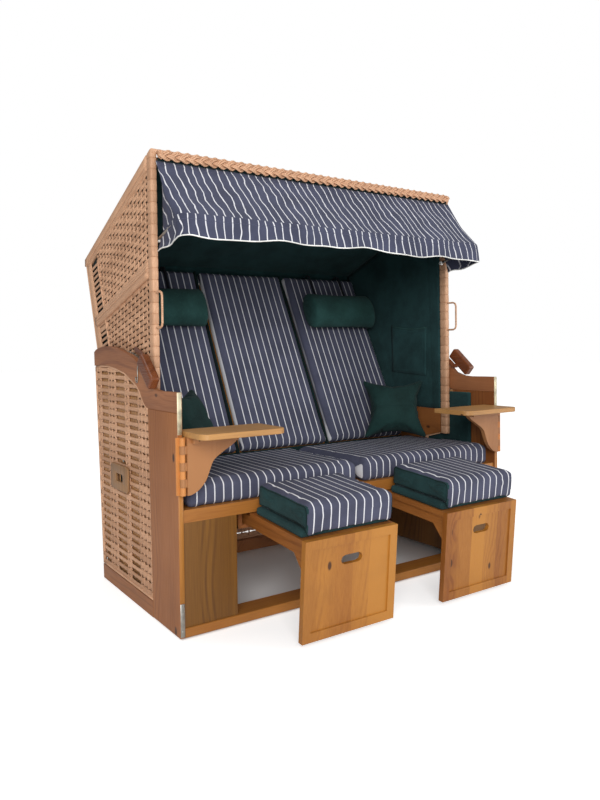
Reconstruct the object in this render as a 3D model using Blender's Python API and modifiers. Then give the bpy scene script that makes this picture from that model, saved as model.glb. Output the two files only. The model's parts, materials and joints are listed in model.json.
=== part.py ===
"""Hooded beach chair for two: a woven basket base with wooden sides, a tilting hood, a front awning,
two pull-out footrests and two swinging side tables. Metres, +Z up, the front faces -Y.

Places in this file are measured from the front plane of the side boards (Y = 0 there), from the middle
of the seat (X = 0) and from the ground (Z = 0). One empty at the end moves the whole chair so that its
origin lies under the middle of its outer box.
"""
import math

import bmesh
import bpy
from mathutils import Matrix, Vector

# Clearances and modelling values
SEAT_GAP = 0.0003          # gap between pieces that touch
RUN_GAP = 0.0009           # gap between pieces that slide or turn past each other
OVERRUN = 0.004            # how far a cutter runs past what it cuts
MERGE = 0.00001            # distance at which the caps of a curve are welded
EDGE = 0.002               # softened edge of a sawn board
TURNS_SMALL = 12           # sides of a pin or a bore
TURNS_LARGE = 24           # sides of a turned roll

# Basket
WIDTH = 1.500
BOARD = 0.018
BASE_DEPTH = 0.728
BACK_LEAN_SHARE = 0.0738   # how far the rear edge leans back for its height
SIDE_BOARD_FOOT = 0.217
SIDE_BOARD_TOP = 0.236
RAIL_HEIGHT = 0.055
WEAVE = 0.014
WEAVE_RIPPLE = 0.004
COURSE = 0.027
LINING = 0.008
LINING_FRONT = 0.127
LINING_TOP = 0.700
BACK_WALL_TOP = 0.540
BEAM_HEIGHT = 0.030
BEAM_DEPTH = 0.090
REAR_BEAM_HEIGHT = 0.050
REAR_BEAM_DEPTH = 0.030

# Arm boards, drawn as shares of their length and rise from the level lower edge
ARM_LENGTH = 0.800
ARM_BASE_Z = 0.711
ARM_RISE_HEIGHT = 0.215
ARM_EDGE_RADIUS = 0.405
ARM_ARC_FROM_DEG = 134.0
ARM_ARC_TO_DEG = 97.0
ARM_ARC_STEPS = 7
ARM_FRONT_SHARES = ((0.0, 0.298), (0.09, 0.296), (0.165, 0.292), (0.215, 0.305))
ARM_CREST_SHARES = ((0.65, 0.955), (0.76, 1.0), (0.875, 0.995), (0.965, 0.95), (1.0, 0.893))
ARM_UNDER_SHARES = ((0.996, 0.642), (0.90, 0.660), (0.80, 0.660), (0.70, 0.623), (0.58, 0.560),
                    (0.50, 0.460), (0.42, 0.345), (0.38, 0.235), (0.345, 0.09), (0.295, 0.005),
                    (0.20, 0.0), (0.0, 0.0))

# Hand slots in the sides
HANDLE_PLATE = 0.007
HANDLE_PLATE_LENGTH = 0.196
HANDLE_PLATE_HEIGHT = 0.122
HANDLE_PLATE_Y = 0.513
HANDLE_PLATE_Z = 0.434
HANDLE_CORNER = 0.030
HANDLE_SLOT_LENGTH = 0.080
HANDLE_SLOT_HEIGHT = 0.028

# Seat
SEAT_BOARD_TOP = 0.403
SEAT_BOARD_REAR_GAP = 0.038
APRON_DROP = 0.023
APRON = 0.018
SEAT_CUSHION_TOP = 0.486
SEAT_CUSHION_DEPTH = 0.484
SEAT_CUSHION_FRONT = 0.004
SEAT_CUSHION_NOTCH_Y = 0.235
SEAT_CUSHION_NOTCH = 0.038
SEAT_SPLIT = 0.003

# Boxes beside the footrests
BOX_WIDTH = 0.192
BOX_SETBACK = 0.006
BOX_DEPTH = 0.450

# Hood
HOOD_CLEAR = 0.028           # from the outside of the basket to the outside of the hood
HOOD_FRONT = 0.243
HOOD_TOP = 1.600
KNEE_DROP = 0.295
HOOD_BACK_END_Z = 0.660
HOOD_BACK_END_Y = 0.76103
HOOD_BACK_CLEAR = 0.0238     # from the top of the back board to the outside of the hood's back
HOOD_WALL = 0.018
POST_WIDTH = 0.025
POST_DEPTH = 0.040
HOOD_SIDE_END_Z = 0.508
HOOD_COURSE = 0.026
HOOD_COURSE_TILT_DEG = -14.0
PIVOT_Y = 0.500
PIVOT_Z = 0.500
PIVOT_RADIUS = 0.008
PIVOT_HEAD_RADIUS = 0.014
PIVOT_HEAD = 0.004
HUB_STEPS = 10
HUB_FROM_DEG = 205.0
HEEL_LENGTH = 0.298
HOOD_LINING = 0.0055
HOOD_LINING_END_Z = 0.600
BRAID_RADIUS = 0.017
BRAID_WAIST = 0.0125
BRAID_PITCH = 0.033
BRAID_DROP = 0.028

# Back rest, a leaning plane through the line where the seat meets the back
BACK_FOOT_Y = 0.500
BACK_FOOT_Z = 0.474
BACK_LEAN_DEG = 26.4
BACK_RISE_SHARE = 0.9647     # top of the back cushions, as a share of the way up to the knee
BACK_CUSHION = 0.050
BACK_CUSHION_LIFT = 0.008
BACK_CUSHION_GAP = 0.004
BACK_PANELS = ("left", "middle", "right")
BACK_BOARD = 0.010
BACK_BOARD_DROP = 0.045
NECK_ROLL_LENGTH = 0.390
NECK_ROLL_HEIGHT = 0.190
NECK_ROLL_DEPTH = 0.118
NECK_ROLL_DROP = 0.235
NECK_ROLL_INSET = 0.250
ROLL_SHARES = ((0.0, 0.0), (0.0, 0.42), (0.02, 0.72), (0.07, 0.93), (0.20, 0.99), (0.50, 1.0))

# Grip loops on the hood posts
LOOP_ROD = 0.008
LOOP_DROP = 0.493
LOOP_HEIGHT = 0.122
LOOP_REACH = 0.050
LOOP_BEND = 0.016

# Catch that holds the hood: a toothed arc on the arm board and a sprung lever on the hood
RACK = 0.004
RACK_OUTER_RADIUS = 0.409
RACK_INNER_RADIUS = 0.384
RACK_FROM_DEG = 84.0
RACK_TO_DEG = 128.0
RACK_TOOTH_DEG = 4.0
RACK_NOTCH = 0.006
LEVER = 0.004
LEVER_PIVOT_DEG = 103.0
LEVER_RADIUS = 0.424
LEVER_HEIGHT = 0.020
LEVER_STEPS = 8
PAWL_TOOTH = 9
PAWL_SHARE = 0.725
PAWL_LIFT = 0.0006
GRIP_DEG = 131.0
GRIP_RADIUS = 0.448
GRIP_LENGTH = 0.130
GRIP_THICK = 0.050
GRIP_WIDTH = 0.034
GRIP_BED = 0.003
GRIP_STAND = 0.015           # how far the grip stands off its lever
GRIP_STEM = 0.009
GRIP_EDGE = 0.008
GRIP_ROUND_STEPS = 3

# Awning
BOW_ROD = 0.010
BOW_PIVOT_Y = 0.262
BOW_PIVOT_DROP = 0.310       # the awning's heights are drops from the top of the hood
BOW_FRONT_DROP = 0.267
COVER = 0.002
COVER_INSET = 0.016
COVER_TOP_DROP = 0.0465
COVER_BACK_Y = 0.2335
COVER_FRONT_Y = 0.040
COVER_ROD_DROP = 0.255
COVER_SIDE_ROD_DROP = 0.288
COVER_HEM_DROP = 0.326
COVER_SIDE_HEM_DROP = 0.357
COVER_SAG = 0.007
COVER_SCALLOP = 0.0045
COVER_SCALLOPS = 7
COVER_SLOPE_STEPS = 5
COVER_HEM_STEPS = 2
COVER_FRONT_STEPS = 42
COVER_SIDE_STEPS = 4

# Footrests, drawn level from the upper front edge of the front panel and tilted nose down
FOOT_WIDTH = 0.3665
FOOT_INNER = 0.1153
FOOT_REACH = 0.309
FOOT_TOP_Z = 0.331
FOOT_TILT_DEG = 4.8
FOOT_PANEL_HEIGHT = 0.318
FOOT_PANEL = 0.020
FOOT_STILE = 0.030
FOOT_INSET = 0.005
FOOT_BOARD = 0.018
FOOT_BOARD_END = 0.330
FOOT_RAIL_HEIGHT = 0.037
FOOT_RAIL = 0.018
FOOT_RAIL_INSET = 0.010
FOOT_RAIL_END = 0.500
FOOT_GUSSET = 0.055
FOOT_CUSHION = 0.088
FOOT_CUSHION_SETBACK = 0.004
FOOT_CUSHION_LENGTH = 0.298
FOOT_SLOT_LENGTH = 0.084
FOOT_SLOT_HEIGHT = 0.030
FOOT_SLOT_DROP = 0.082
FOOT_TRAVEL = 0.300
GUIDE = 0.016
GUIDE_LEDGE = 0.012
GUIDE_FRONT = 0.070
GUIDE_BAR = 0.020

# Side tables on finger hinges
TABLE_TOP_Z = 0.653
TABLE = 0.018
TABLE_LENGTH = 0.305
TABLE_DEPTH = 0.180
TABLE_INSET = 0.023
TABLE_BACK_Y = 0.050
TABLE_CORNER = 0.032
HINGE_INSET = 0.0105
HINGE_Y = -0.0145
HINGE_LEAF = 0.0042
HINGE_LEAF_WIDTH = 0.035
HINGE_HEIGHT = 0.181
HINGE_BARREL = 0.0092
HINGE_FINGERS = 7
HINGE_PIN = 0.003
HINGE_BORE = 0.0035
CONSOLE = 0.018
CONSOLE_REACH = 0.184
CONSOLE_CLEAR = 0.0125
CONSOLE_SHARES = ((1.0, 0.0), (1.0, -0.06), (0.90, -0.17), (0.68, -0.30), (0.50, -0.43),
                  (0.42, -0.60), (0.34, -0.78), (0.20, -0.93), (0.06, -0.995))
BATTEN_LENGTH = 0.160
BATTEN_DEPTH = 0.040
BATTEN = 0.018

# Loose pillows
PILLOW = 0.300
PILLOW_THICK = 0.105
PILLOW_INSET = 0.230
PILLOW_FORWARD = 0.154       # from the face of the back cushions to the middle of a pillow
PILLOW_TURN_DEG = 37.0       # how far each pillow is turned out of its corner
PILLOW_SEAM_SHARE = 0.12
PILLOW_PINCH_SHARE = 0.08

HALF = WIDTH / 2
HOOD_HALF = HALF - HOOD_CLEAR
SEAT_BOARD_DEPTH = BASE_DEPTH - SEAT_BOARD_REAR_GAP
BOX_INNER = HALF - BOARD - BOX_WIDTH
KNEE_Z = HOOD_TOP - KNEE_DROP
LEAN = math.radians(BACK_LEAN_DEG)
BACK_LENGTH = BACK_RISE_SHARE * (KNEE_Z - BACK_FOOT_Z) / math.cos(LEAN)
BACK_BOARD_LENGTH = BACK_LENGTH - BACK_BOARD_DROP
BOARD_REAR = BACK_CUSHION + SEAT_GAP + BACK_BOARD
BOARD_TOP_Y = BACK_FOOT_Y + BOARD_REAR * math.cos(LEAN) + BACK_BOARD_LENGTH * math.sin(LEAN)
BOARD_TOP_Z = BACK_FOOT_Z - BOARD_REAR * math.sin(LEAN) + BACK_BOARD_LENGTH * math.cos(LEAN)
HOOD_BACK_RUN = (BOARD_TOP_Y + HOOD_BACK_CLEAR - HOOD_BACK_END_Y) / (BOARD_TOP_Z - HOOD_BACK_END_Z)
KNEE_Y = HOOD_BACK_END_Y + HOOD_BACK_RUN * (KNEE_Z - HOOD_BACK_END_Z)
NECK_ROLL_UP = BACK_LENGTH - NECK_ROLL_DROP
LOOP_HIGH = HOOD_TOP - LOOP_DROP
LOOP_LOW = LOOP_HIGH - LOOP_HEIGHT
NECK_ROLL_CENTRE = HOOD_HALF - NECK_ROLL_INSET
BOW_PIVOT_Z = HOOD_TOP - BOW_PIVOT_DROP
BOW_FRONT_Z = HOOD_TOP - BOW_FRONT_DROP
COVER_HALF = HOOD_HALF - COVER_INSET
COVER_TOP_Z = HOOD_TOP - COVER_TOP_DROP
COVER_ROD_Z = HOOD_TOP - COVER_ROD_DROP
COVER_SIDE_ROD_Z = HOOD_TOP - COVER_SIDE_ROD_DROP
COVER_HEM_Z = HOOD_TOP - COVER_HEM_DROP
COVER_SIDE_HEM_Z = HOOD_TOP - COVER_SIDE_HEM_DROP
TABLE_OUTER = HALF - TABLE_INSET
HINGE_X = HALF - HINGE_INSET
PILLOW_CENTRE = HALF - PILLOW_INSET
SEAT_CUSHION_HALF = HALF - BOARD - SEAT_GAP - LINING - RUN_GAP
SIDES = {"left": -1, "right": 1}
STAND_UP = Matrix(((0, 0, 1, 0), (1, 0, 0, 0), (0, 1, 0, 0), (0, 0, 0, 1)))


# Scene set-up


def clear_scene():
    """Remove every object, and the meshes, curves and materials left from an earlier run."""
    for thing in list(bpy.data.objects):
        bpy.data.objects.remove(thing, do_unlink=True)
    for store in (bpy.data.meshes, bpy.data.curves, bpy.data.materials, bpy.data.collections):
        for item in list(store):
            store.remove(item)


def new_collection(name):
    """Make a collection in the scene."""
    collection = bpy.data.collections.new(name)
    bpy.context.scene.collection.children.link(collection)
    return collection


def finish(name, colour, roughness, metallic=0.0):
    """Make a Principled material with a plain colour."""
    material = bpy.data.materials.new(name)
    material.use_nodes = True
    shader = material.node_tree.nodes["Principled BSDF"]
    shader.inputs["Base Color"].default_value = (*colour, 1.0)
    shader.inputs["Roughness"].default_value = roughness
    shader.inputs["Metallic"].default_value = metallic
    material.diffuse_color = (*colour, 1.0)
    return material


clear_scene()
CHAIR = new_collection("hooded_beach_chair")
CUTTERS = new_collection("cutters")

RATTAN = finish("rattan", (0.61, 0.37, 0.24), 0.55)
SIDE_WOOD = finish("side_wood", (0.35, 0.16, 0.08), 0.5)
ARM_WOOD = finish("arm_wood", (0.26, 0.12, 0.07), 0.5)
PINE = finish("pine", (0.56, 0.25, 0.07), 0.45)
HINGE_WOOD = finish("hinge_wood", (0.70, 0.30, 0.09), 0.5)
GRIP_WOOD = finish("grip_wood", (0.15, 0.03, 0.01), 0.35)
GREEN = finish("green_cloth", (0.02, 0.07, 0.06), 0.9)
STRIPE = finish("striped_cloth", (0.10, 0.10, 0.15), 0.9)
STEEL = finish("steel", (0.6, 0.6, 0.6), 0.35, 1.0)

ROOT = bpy.data.objects.new("chair", None)
CHAIR.objects.link(ROOT)


def axis_empty(name, place, turn=(0.0, 0.0, 0.0), parent=ROOT):
    """Add an empty that holds a joint axis or a tilted frame."""
    empty = bpy.data.objects.new(name, None)
    CHAIR.objects.link(empty)
    empty.parent = parent
    empty.location = place
    empty.rotation_euler = turn
    return empty


# Builders


def add_mesh(name, mesh, material, parent=ROOT, matrix=Matrix.Identity(4), collection=CHAIR):
    """Put a mesh in the scene as a named object."""
    mesh.name = name
    thing = bpy.data.objects.new(name, mesh)
    collection.objects.link(thing)
    thing.parent = parent
    thing.matrix_local = matrix
    if material:
        mesh.materials.clear()
        mesh.materials.append(material)
    if collection is CUTTERS:
        thing.hide_render = True
        thing.display_type = "WIRE"
    return thing


def soften(thing, width=EDGE):
    """Round the sawn edges of a board by a narrow bevel."""
    bevel = thing.modifiers.new("edges", "BEVEL")
    bevel.width = width
    bevel.segments = 1
    bevel.limit_method = "ANGLE"
    bevel.angle_limit = math.radians(40)
    return thing


def block(name, low, high, material, parent=ROOT, collection=CHAIR, edge=0.0):
    """Make a box between two opposite corners."""
    low, high = Vector(map(min, low, high)), Vector(map(max, low, high))
    mesh = bpy.data.meshes.new(name)
    form = bmesh.new()
    bmesh.ops.create_cube(form, size=1.0)
    size = high - low
    bmesh.ops.scale(form, vec=size, verts=form.verts)
    form.to_mesh(mesh)
    form.free()
    thing = add_mesh(name, mesh, material, parent, Matrix.Translation((low + high) / 2), collection)
    return soften(thing, edge) if edge else thing


def curve_mesh(curve, matrix):
    """Turn a curve into a welded mesh, and remove the curve."""
    holder = bpy.data.objects.new("holder", curve)
    CHAIR.objects.link(holder)
    bpy.context.view_layer.update()
    ready = holder.evaluated_get(bpy.context.evaluated_depsgraph_get())
    mesh = bpy.data.meshes.new_from_object(ready)
    bpy.data.objects.remove(holder, do_unlink=True)
    bpy.data.curves.remove(curve)
    form = bmesh.new()
    form.from_mesh(mesh)
    bmesh.ops.remove_doubles(form, verts=form.verts, dist=MERGE)
    bmesh.ops.transform(form, matrix=matrix, verts=form.verts)
    bmesh.ops.recalc_face_normals(form, faces=form.faces)
    form.to_mesh(mesh)
    form.free()
    return mesh


def flat_mesh(outline, thickness, matrix):
    """Extrude a flat outline to a plate that is centred on its plane."""
    curve = bpy.data.curves.new("outline", "CURVE")
    curve.dimensions = "2D"
    curve.fill_mode = "BOTH"
    curve.extrude = thickness / 2
    spline = curve.splines.new("POLY")
    spline.points.add(len(outline) - 1)
    for point, (u, v) in zip(spline.points, outline):
        point.co = (u, v, 0.0, 1.0)
    spline.use_cyclic_u = True
    return curve_mesh(curve, matrix)


def side_plate(name, outline, inner, outer, side, material, parent=ROOT, collection=CHAIR):
    """Make an upright plate from an outline in Y and Z, between two distances from the middle."""
    middle = side * (inner + outer) / 2
    matrix = Matrix.Translation((middle, 0, 0)) @ STAND_UP
    mesh = flat_mesh(outline, outer - inner, matrix)
    return add_mesh(name, mesh, material, parent, collection=collection)


def cross_plate(name, outline, half, material, parent=ROOT, collection=CHAIR):
    """Make a full-width plate from an outline in Y and Z."""
    return add_mesh(name, flat_mesh(outline, 2 * half, STAND_UP), material, parent, collection=collection)


def rod_mesh(points, radius, resolution=2, widths=None):
    """Make a round rod with closed ends along a list of points."""
    curve = bpy.data.curves.new("rod", "CURVE")
    curve.dimensions = "3D"
    curve.bevel_depth = radius
    curve.bevel_resolution = resolution
    curve.use_fill_caps = True
    spline = curve.splines.new("POLY")
    spline.points.add(len(points) - 1)
    for number, (point, place) in enumerate(zip(spline.points, points)):
        point.co = (*place, 1.0)
        point.radius = widths[number] if widths else 1.0
    return curve_mesh(curve, Matrix.Identity(4))


def cylinder(name, centre, axis, radius, length, material, parent=ROOT, collection=CHAIR):
    """Make a round bar about the X, Y or Z axis."""
    turns = {"X": Matrix.Rotation(math.pi / 2, 4, "Y"), "Y": Matrix.Rotation(math.pi / 2, 4, "X"),
             "Z": Matrix.Identity(4)}
    mesh = bpy.data.meshes.new(name)
    form = bmesh.new()
    bmesh.ops.create_cone(form, cap_ends=True, segments=TURNS_SMALL, radius1=radius, radius2=radius,
                          depth=length, matrix=turns[axis])
    form.to_mesh(mesh)
    form.free()
    mesh.shade_smooth()
    mesh.set_sharp_from_angle(angle=math.radians(40))
    return add_mesh(name, mesh, material, parent, Matrix.Translation(centre), collection)


def combine(thing, other, operation):
    """Add, cut or keep in common with another object by an exact Boolean."""
    step = thing.modifiers.new(operation.lower(), "BOOLEAN")
    step.operation = operation
    step.solver = "EXACT"
    step.object = other
    return thing


def smooth(points, steps=4):
    """Run a curve through the points, with a few steps between each pair."""
    path = []
    ends = [points[0], *points, points[-1]]
    for number in range(1, len(ends) - 2):
        before, start, end, after = (Vector(point) for point in ends[number - 1:number + 3])
        for step in range(steps):
            t = step / steps
            path.append(tuple(0.5 * ((2 * start) + (end - before) * t
                                     + (2 * before - 5 * start + 4 * end - after) * t * t
                                     + (3 * start - before - 3 * end + after) * t ** 3)))
    path.append(tuple(points[-1]))
    return path


def arc(centre, radius, start_deg, end_deg, steps):
    """Give points on an arc in the plane."""
    return [(centre[0] + radius * math.cos(math.radians(start_deg + (end_deg - start_deg) * n / steps)),
             centre[1] + radius * math.sin(math.radians(start_deg + (end_deg - start_deg) * n / steps)))
            for n in range(steps + 1)]


def shift(line, distance):
    """Move a line sideways: a positive distance moves it to the left of its direction."""
    start, end = Vector(line[0]), Vector(line[1])
    across = (end - start).normalized()
    across = Vector((-across.y, across.x)) * distance
    return start + across, end + across


def meet(first, second):
    """Find where two lines cross."""
    (a, b), (c, d) = first, second
    along, other = b - a, d - c
    share = (c - a).cross(other) / along.cross(other)
    return tuple(a + along * share)


def rippled(start, end, pitch, depth):
    """Give the points of a wavy edge from start to end, with its crests on the straight line."""
    start, end = Vector(start), Vector(end)
    along = (end - start).normalized()
    inward = Vector((along.y, -along.x))
    count = max(1, round((end - start).length / pitch))
    points = []
    for number in range(count):
        for share, drop in ((0.0, 1.0), (0.25, 0.3), (0.5, 0.0), (0.75, 0.3)):
            place = start + (end - start) * (number + share) / count
            points.append(tuple(place + inward * depth * drop))
    points.append(tuple(end + inward * depth))
    return points


def woven_side(name, outline, inner, outer, side, pitch, tilt_deg, parent=ROOT):
    """Make an upright woven wall: its outline is kept in common with a slab of rounded courses."""
    wall = side_plate(name, outline, inner - OVERRUN, outer + OVERRUN, side, RATTAN, parent)
    ys = [point[0] for point in outline]
    zs = [point[1] for point in outline]
    reach = (max(ys) - min(ys) + max(zs) - min(zs)) / 2 + OVERRUN
    edge = rippled((outer - inner, reach), (outer - inner, -reach), pitch, WEAVE_RIPPLE)
    profile = [(0.0, -reach), (0.0, reach)] + [(u, v) for u, v in edge]
    middle = Vector((side * inner, (max(ys) + min(ys)) / 2, (max(zs) + min(zs)) / 2))
    lay = Matrix.Rotation(math.radians(tilt_deg), 4, "X") @ Matrix.Rotation(math.pi / 2, 4, "X")
    matrix = Matrix.Translation(middle) @ lay @ Matrix.Diagonal((side, 1, 1, 1))
    courses = flat_mesh(profile, 2 * reach, matrix)
    slab = add_mesh(name + "_courses", courses, None, parent, collection=CUTTERS)
    return combine(wall, slab, "INTERSECT")


def padded(name, low, high, material, parent=ROOT, cuts=7, power=9.0, crown=0.0, draw=0.0, shape=None,
           matrix=Matrix.Identity(4)):
    """Make a cushion: a block whose faces swell, whose edges are round and whose sides draw in."""
    low, high = Vector(low), Vector(high)
    mesh = bpy.data.meshes.new(name)
    form = bmesh.new()
    bmesh.ops.create_cube(form, size=2.0)
    bmesh.ops.subdivide_edges(form, edges=form.edges, cuts=cuts, use_grid_fill=True)
    for vert in form.verts:
        u, v, w = vert.co
        size = (abs(u) ** power + abs(v) ** power + abs(w) ** power) ** (1 / power)
        u, v, w = (value / size * max(abs(u), abs(v), abs(w)) for value in (u, v, w))
        swell = 1.0 + crown * ((1 - u * u) * (1 - v * v) - 1.0)
        u, v = u * (1 - draw * (1 - v * v)), v * (1 - draw * (1 - u * u))
        vert.co = Vector((u, v, w * swell))
    for vert in form.verts:
        unit = shape(*vert.co) if shape else vert.co
        vert.co = [(a + b) / 2 + c * (b - a) / 2 for a, b, c in zip(low, high, unit)]
    form.to_mesh(mesh)
    form.free()
    mesh.shade_smooth()
    return add_mesh(name, mesh, material, parent, matrix)


# Basket


def back_plane(z):
    """Give the Y of the basket's leaning rear edge at a height."""
    return BASE_DEPTH + BACK_LEAN_SHARE * z


def arm_outline():
    """Draw the S-shaped arm board: a level front, an arc about the hood's pivot and a flat crest."""
    def place(shares):
        return [(y * ARM_LENGTH, ARM_BASE_Z + z * ARM_RISE_HEIGHT) for y, z in shares]
    sweep = arc((PIVOT_Y, PIVOT_Z), ARM_EDGE_RADIUS, ARM_ARC_FROM_DEG, ARM_ARC_TO_DEG, ARM_ARC_STEPS)
    top = smooth(place(ARM_FRONT_SHARES), 2) + sweep + smooth(place(ARM_CREST_SHARES), 2)
    return top + arm_underside()[::-1]


def arm_underside():
    """Give the lower edge of the arm board from front to back; its front stays level."""
    points = smooth([(y * ARM_LENGTH, ARM_BASE_Z + z * ARM_RISE_HEIGHT) for y, z in ARM_UNDER_SHARES], 2)
    return [(y, max(z, ARM_BASE_Z)) for y, z in reversed(points)]


def build_side(name, side):
    """Build one side of the basket: boards, woven wall, hand slot and inner lining."""
    inner = HALF - BOARD
    front_top = ARM_BASE_Z - SEAT_GAP
    soften(side_plate(f"side_board_{name}", [(0.0, 0.0), (SIDE_BOARD_FOOT, 0.0), (SIDE_BOARD_TOP, front_top),
                                             (0.0, front_top)], inner, HALF, side, SIDE_WOOD))
    side_plate(f"arm_board_{name}", arm_outline(), inner, HALF, side, ARM_WOOD)
    rail_front = SIDE_BOARD_FOOT + (SIDE_BOARD_TOP - SIDE_BOARD_FOOT) * RAIL_HEIGHT / front_top
    side_plate(f"bottom_rail_{name}", [(rail_front + SEAT_GAP, 0.0), (back_plane(0), 0.0),
                                       (back_plane(RAIL_HEIGHT), RAIL_HEIGHT),
                                       (rail_front + SEAT_GAP, RAIL_HEIGHT)], inner, HALF, side, SIDE_WOOD)
    outline = [(rail_front + RUN_GAP, RAIL_HEIGHT + SEAT_GAP)]
    outline += [(y, z - SEAT_GAP) for y, z in arm_underside() if y > SIDE_BOARD_TOP + RUN_GAP]
    outline[1:1] = [(SIDE_BOARD_TOP + RUN_GAP, front_top)]
    outline[-1] = (back_plane(outline[-1][1]) - EDGE, outline[-1][1])
    outline.append((back_plane(RAIL_HEIGHT) - EDGE, RAIL_HEIGHT + SEAT_GAP))
    wall = woven_side(f"side_weave_{name}", outline, HALF - WEAVE, HALF, side, COURSE, 0.0)
    half_slot, half_tall = HANDLE_SLOT_LENGTH / 2, HANDLE_SLOT_HEIGHT / 2
    pocket = block(f"hand_pocket_{name}", (side * (HALF - WEAVE - OVERRUN), HANDLE_PLATE_Y - half_slot - OVERRUN,
                                           HANDLE_PLATE_Z - half_tall - OVERRUN),
                   (side * (HALF + OVERRUN), HANDLE_PLATE_Y + half_slot + OVERRUN,
                    HANDLE_PLATE_Z + half_tall + OVERRUN), None, collection=CUTTERS)
    combine(wall, pocket, "DIFFERENCE")
    outer, tall = HANDLE_PLATE_LENGTH / 2, HANDLE_PLATE_HEIGHT / 2
    plate = []
    for turn in range(4):
        a, b = ((1, 1), (-1, 1), (-1, -1), (1, -1))[turn]
        cuts = [(a * outer, b * (tall - HANDLE_CORNER)), (a * (outer - HANDLE_CORNER), b * tall)]
        plate += cuts if turn % 2 == 0 else cuts[::-1]
    plate = [(HANDLE_PLATE_Y + y, HANDLE_PLATE_Z + z) for y, z in plate]
    start = HALF + SEAT_GAP
    carry = side_plate(f"carry_handle_{name}", plate, start, start + HANDLE_PLATE, side, PINE)
    ends = arc((HANDLE_PLATE_Y + half_slot - half_tall, HANDLE_PLATE_Z), half_tall, -90, 90, 4)
    ends += arc((HANDLE_PLATE_Y - half_slot + half_tall, HANDLE_PLATE_Z), half_tall, 90, 270, 4)
    slot = side_plate(f"hand_slot_{name}", ends, start - OVERRUN, start + HANDLE_PLATE + OVERRUN, side, None,
                      collection=CUTTERS)
    combine(carry, slot, "DIFFERENCE")
    rear = back_plane(SEAT_BOARD_TOP) - WEAVE - RUN_GAP
    lining_low = SEAT_BOARD_TOP + SEAT_GAP
    lining = side_plate(f"side_lining_{name}", [(LINING_FRONT, lining_low), (rear, lining_low),
                                                (rear, LINING_TOP), (LINING_FRONT, LINING_TOP)],
                        inner - SEAT_GAP - LINING, inner - SEAT_GAP, side, GREEN)
    build_pivot(name, side, (wall, lining))


def build_pivot(name, side, passed):
    """Build the pin that the hood tilts on, and bore the walls of the basket that it passes through."""
    inner, outer = HOOD_HALF - HOOD_WALL - SEAT_GAP, HALF - WEAVE_RIPPLE - EDGE
    bore_from, bore_to = inner - HOOD_WALL, outer + SEAT_GAP
    bore = cylinder(f"pivot_bore_{name}", (side * (bore_from + bore_to) / 2, PIVOT_Y, PIVOT_Z), "X",
                    PIVOT_RADIUS + SEAT_GAP, bore_to - bore_from, None, collection=CUTTERS)
    for wall in passed:
        combine(wall, bore, "DIFFERENCE")
    start = inner - PIVOT_HEAD / 2
    pin = cylinder(f"hood_pivot_{name}", (side * (start + outer) / 2, PIVOT_Y, PIVOT_Z), "X", PIVOT_RADIUS,
                   outer - start, STEEL)
    head = cylinder(f"pivot_head_{name}", (side * (inner - PIVOT_HEAD / 2), PIVOT_Y, PIVOT_Z), "X",
                    PIVOT_HEAD_RADIUS, PIVOT_HEAD, None, collection=CUTTERS)
    combine(pin, head, "UNION")


def build_basket():
    """Build the parts that join the two sides: beams, woven rear wall, seat board and boxes."""
    inside = HALF - BOARD - SEAT_GAP
    for name, side in SIDES.items():
        build_side(name, side)
    block("front_beam", (-inside, 0.0, 0.0), (inside, BEAM_DEPTH, BEAM_HEIGHT), PINE, edge=EDGE)
    rear = back_plane(0.0) - REAR_BEAM_DEPTH
    cross_plate("rear_beam", [(rear, 0.0), (back_plane(0.0), 0.0),
                              (back_plane(REAR_BEAM_HEIGHT), REAR_BEAM_HEIGHT), (rear, REAR_BEAM_HEIGHT)],
                inside, SIDE_WOOD)
    low, high = REAR_BEAM_HEIGHT + SEAT_GAP, BACK_WALL_TOP
    wall = rippled((back_plane(high), high), (back_plane(low), low), COURSE, WEAVE_RIPPLE)
    wall += [(back_plane(low) - WEAVE, low), (back_plane(high) - WEAVE, high)]
    cross_plate("back_weave", wall, inside, RATTAN)
    seat_low = SEAT_BOARD_TOP - BOARD
    profile = [(BOX_SETBACK, seat_low - APRON_DROP), (BOX_SETBACK + APRON, seat_low - APRON_DROP),
               (BOX_SETBACK + APRON, seat_low), (SEAT_BOARD_DEPTH, seat_low),
               (SEAT_BOARD_DEPTH, SEAT_BOARD_TOP), (BOX_SETBACK, SEAT_BOARD_TOP)]
    cross_plate("seat_board", profile, inside, PINE)
    for name, side in SIDES.items():
        top = seat_low - APRON_DROP - SEAT_GAP
        low = BEAM_HEIGHT + SEAT_GAP
        front = block(f"box_panel_{name}", (side * BOX_INNER, BOX_SETBACK, low),
                      (side * inside, BOX_SETBACK + BOARD, top), PINE)
        back_from = BOX_SETBACK + BOARD - OVERRUN
        wall = block(f"box_return_{name}", (side * BOX_INNER, back_from, low),
                     (side * (BOX_INNER + BOARD), BOX_DEPTH, top), None, collection=CUTTERS)
        combine(front, wall, "UNION")


# Seat, back rest and pillows


def seat_shape(u, v, w):
    """Draw the outer rear corner of a seat cushion in, where the hood's side stands beside it."""
    notch_at = 2 * (SEAT_CUSHION_NOTCH_Y - SEAT_CUSHION_FRONT) / (SEAT_CUSHION_DEPTH - SEAT_CUSHION_FRONT) - 1
    width = SEAT_CUSHION_HALF - SEAT_SPLIT / 2
    drawn = SEAT_CUSHION_NOTCH / width if v > notch_at else 0.0
    return Vector((-1 + (u + 1) * (1 - drawn), v, w))


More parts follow.
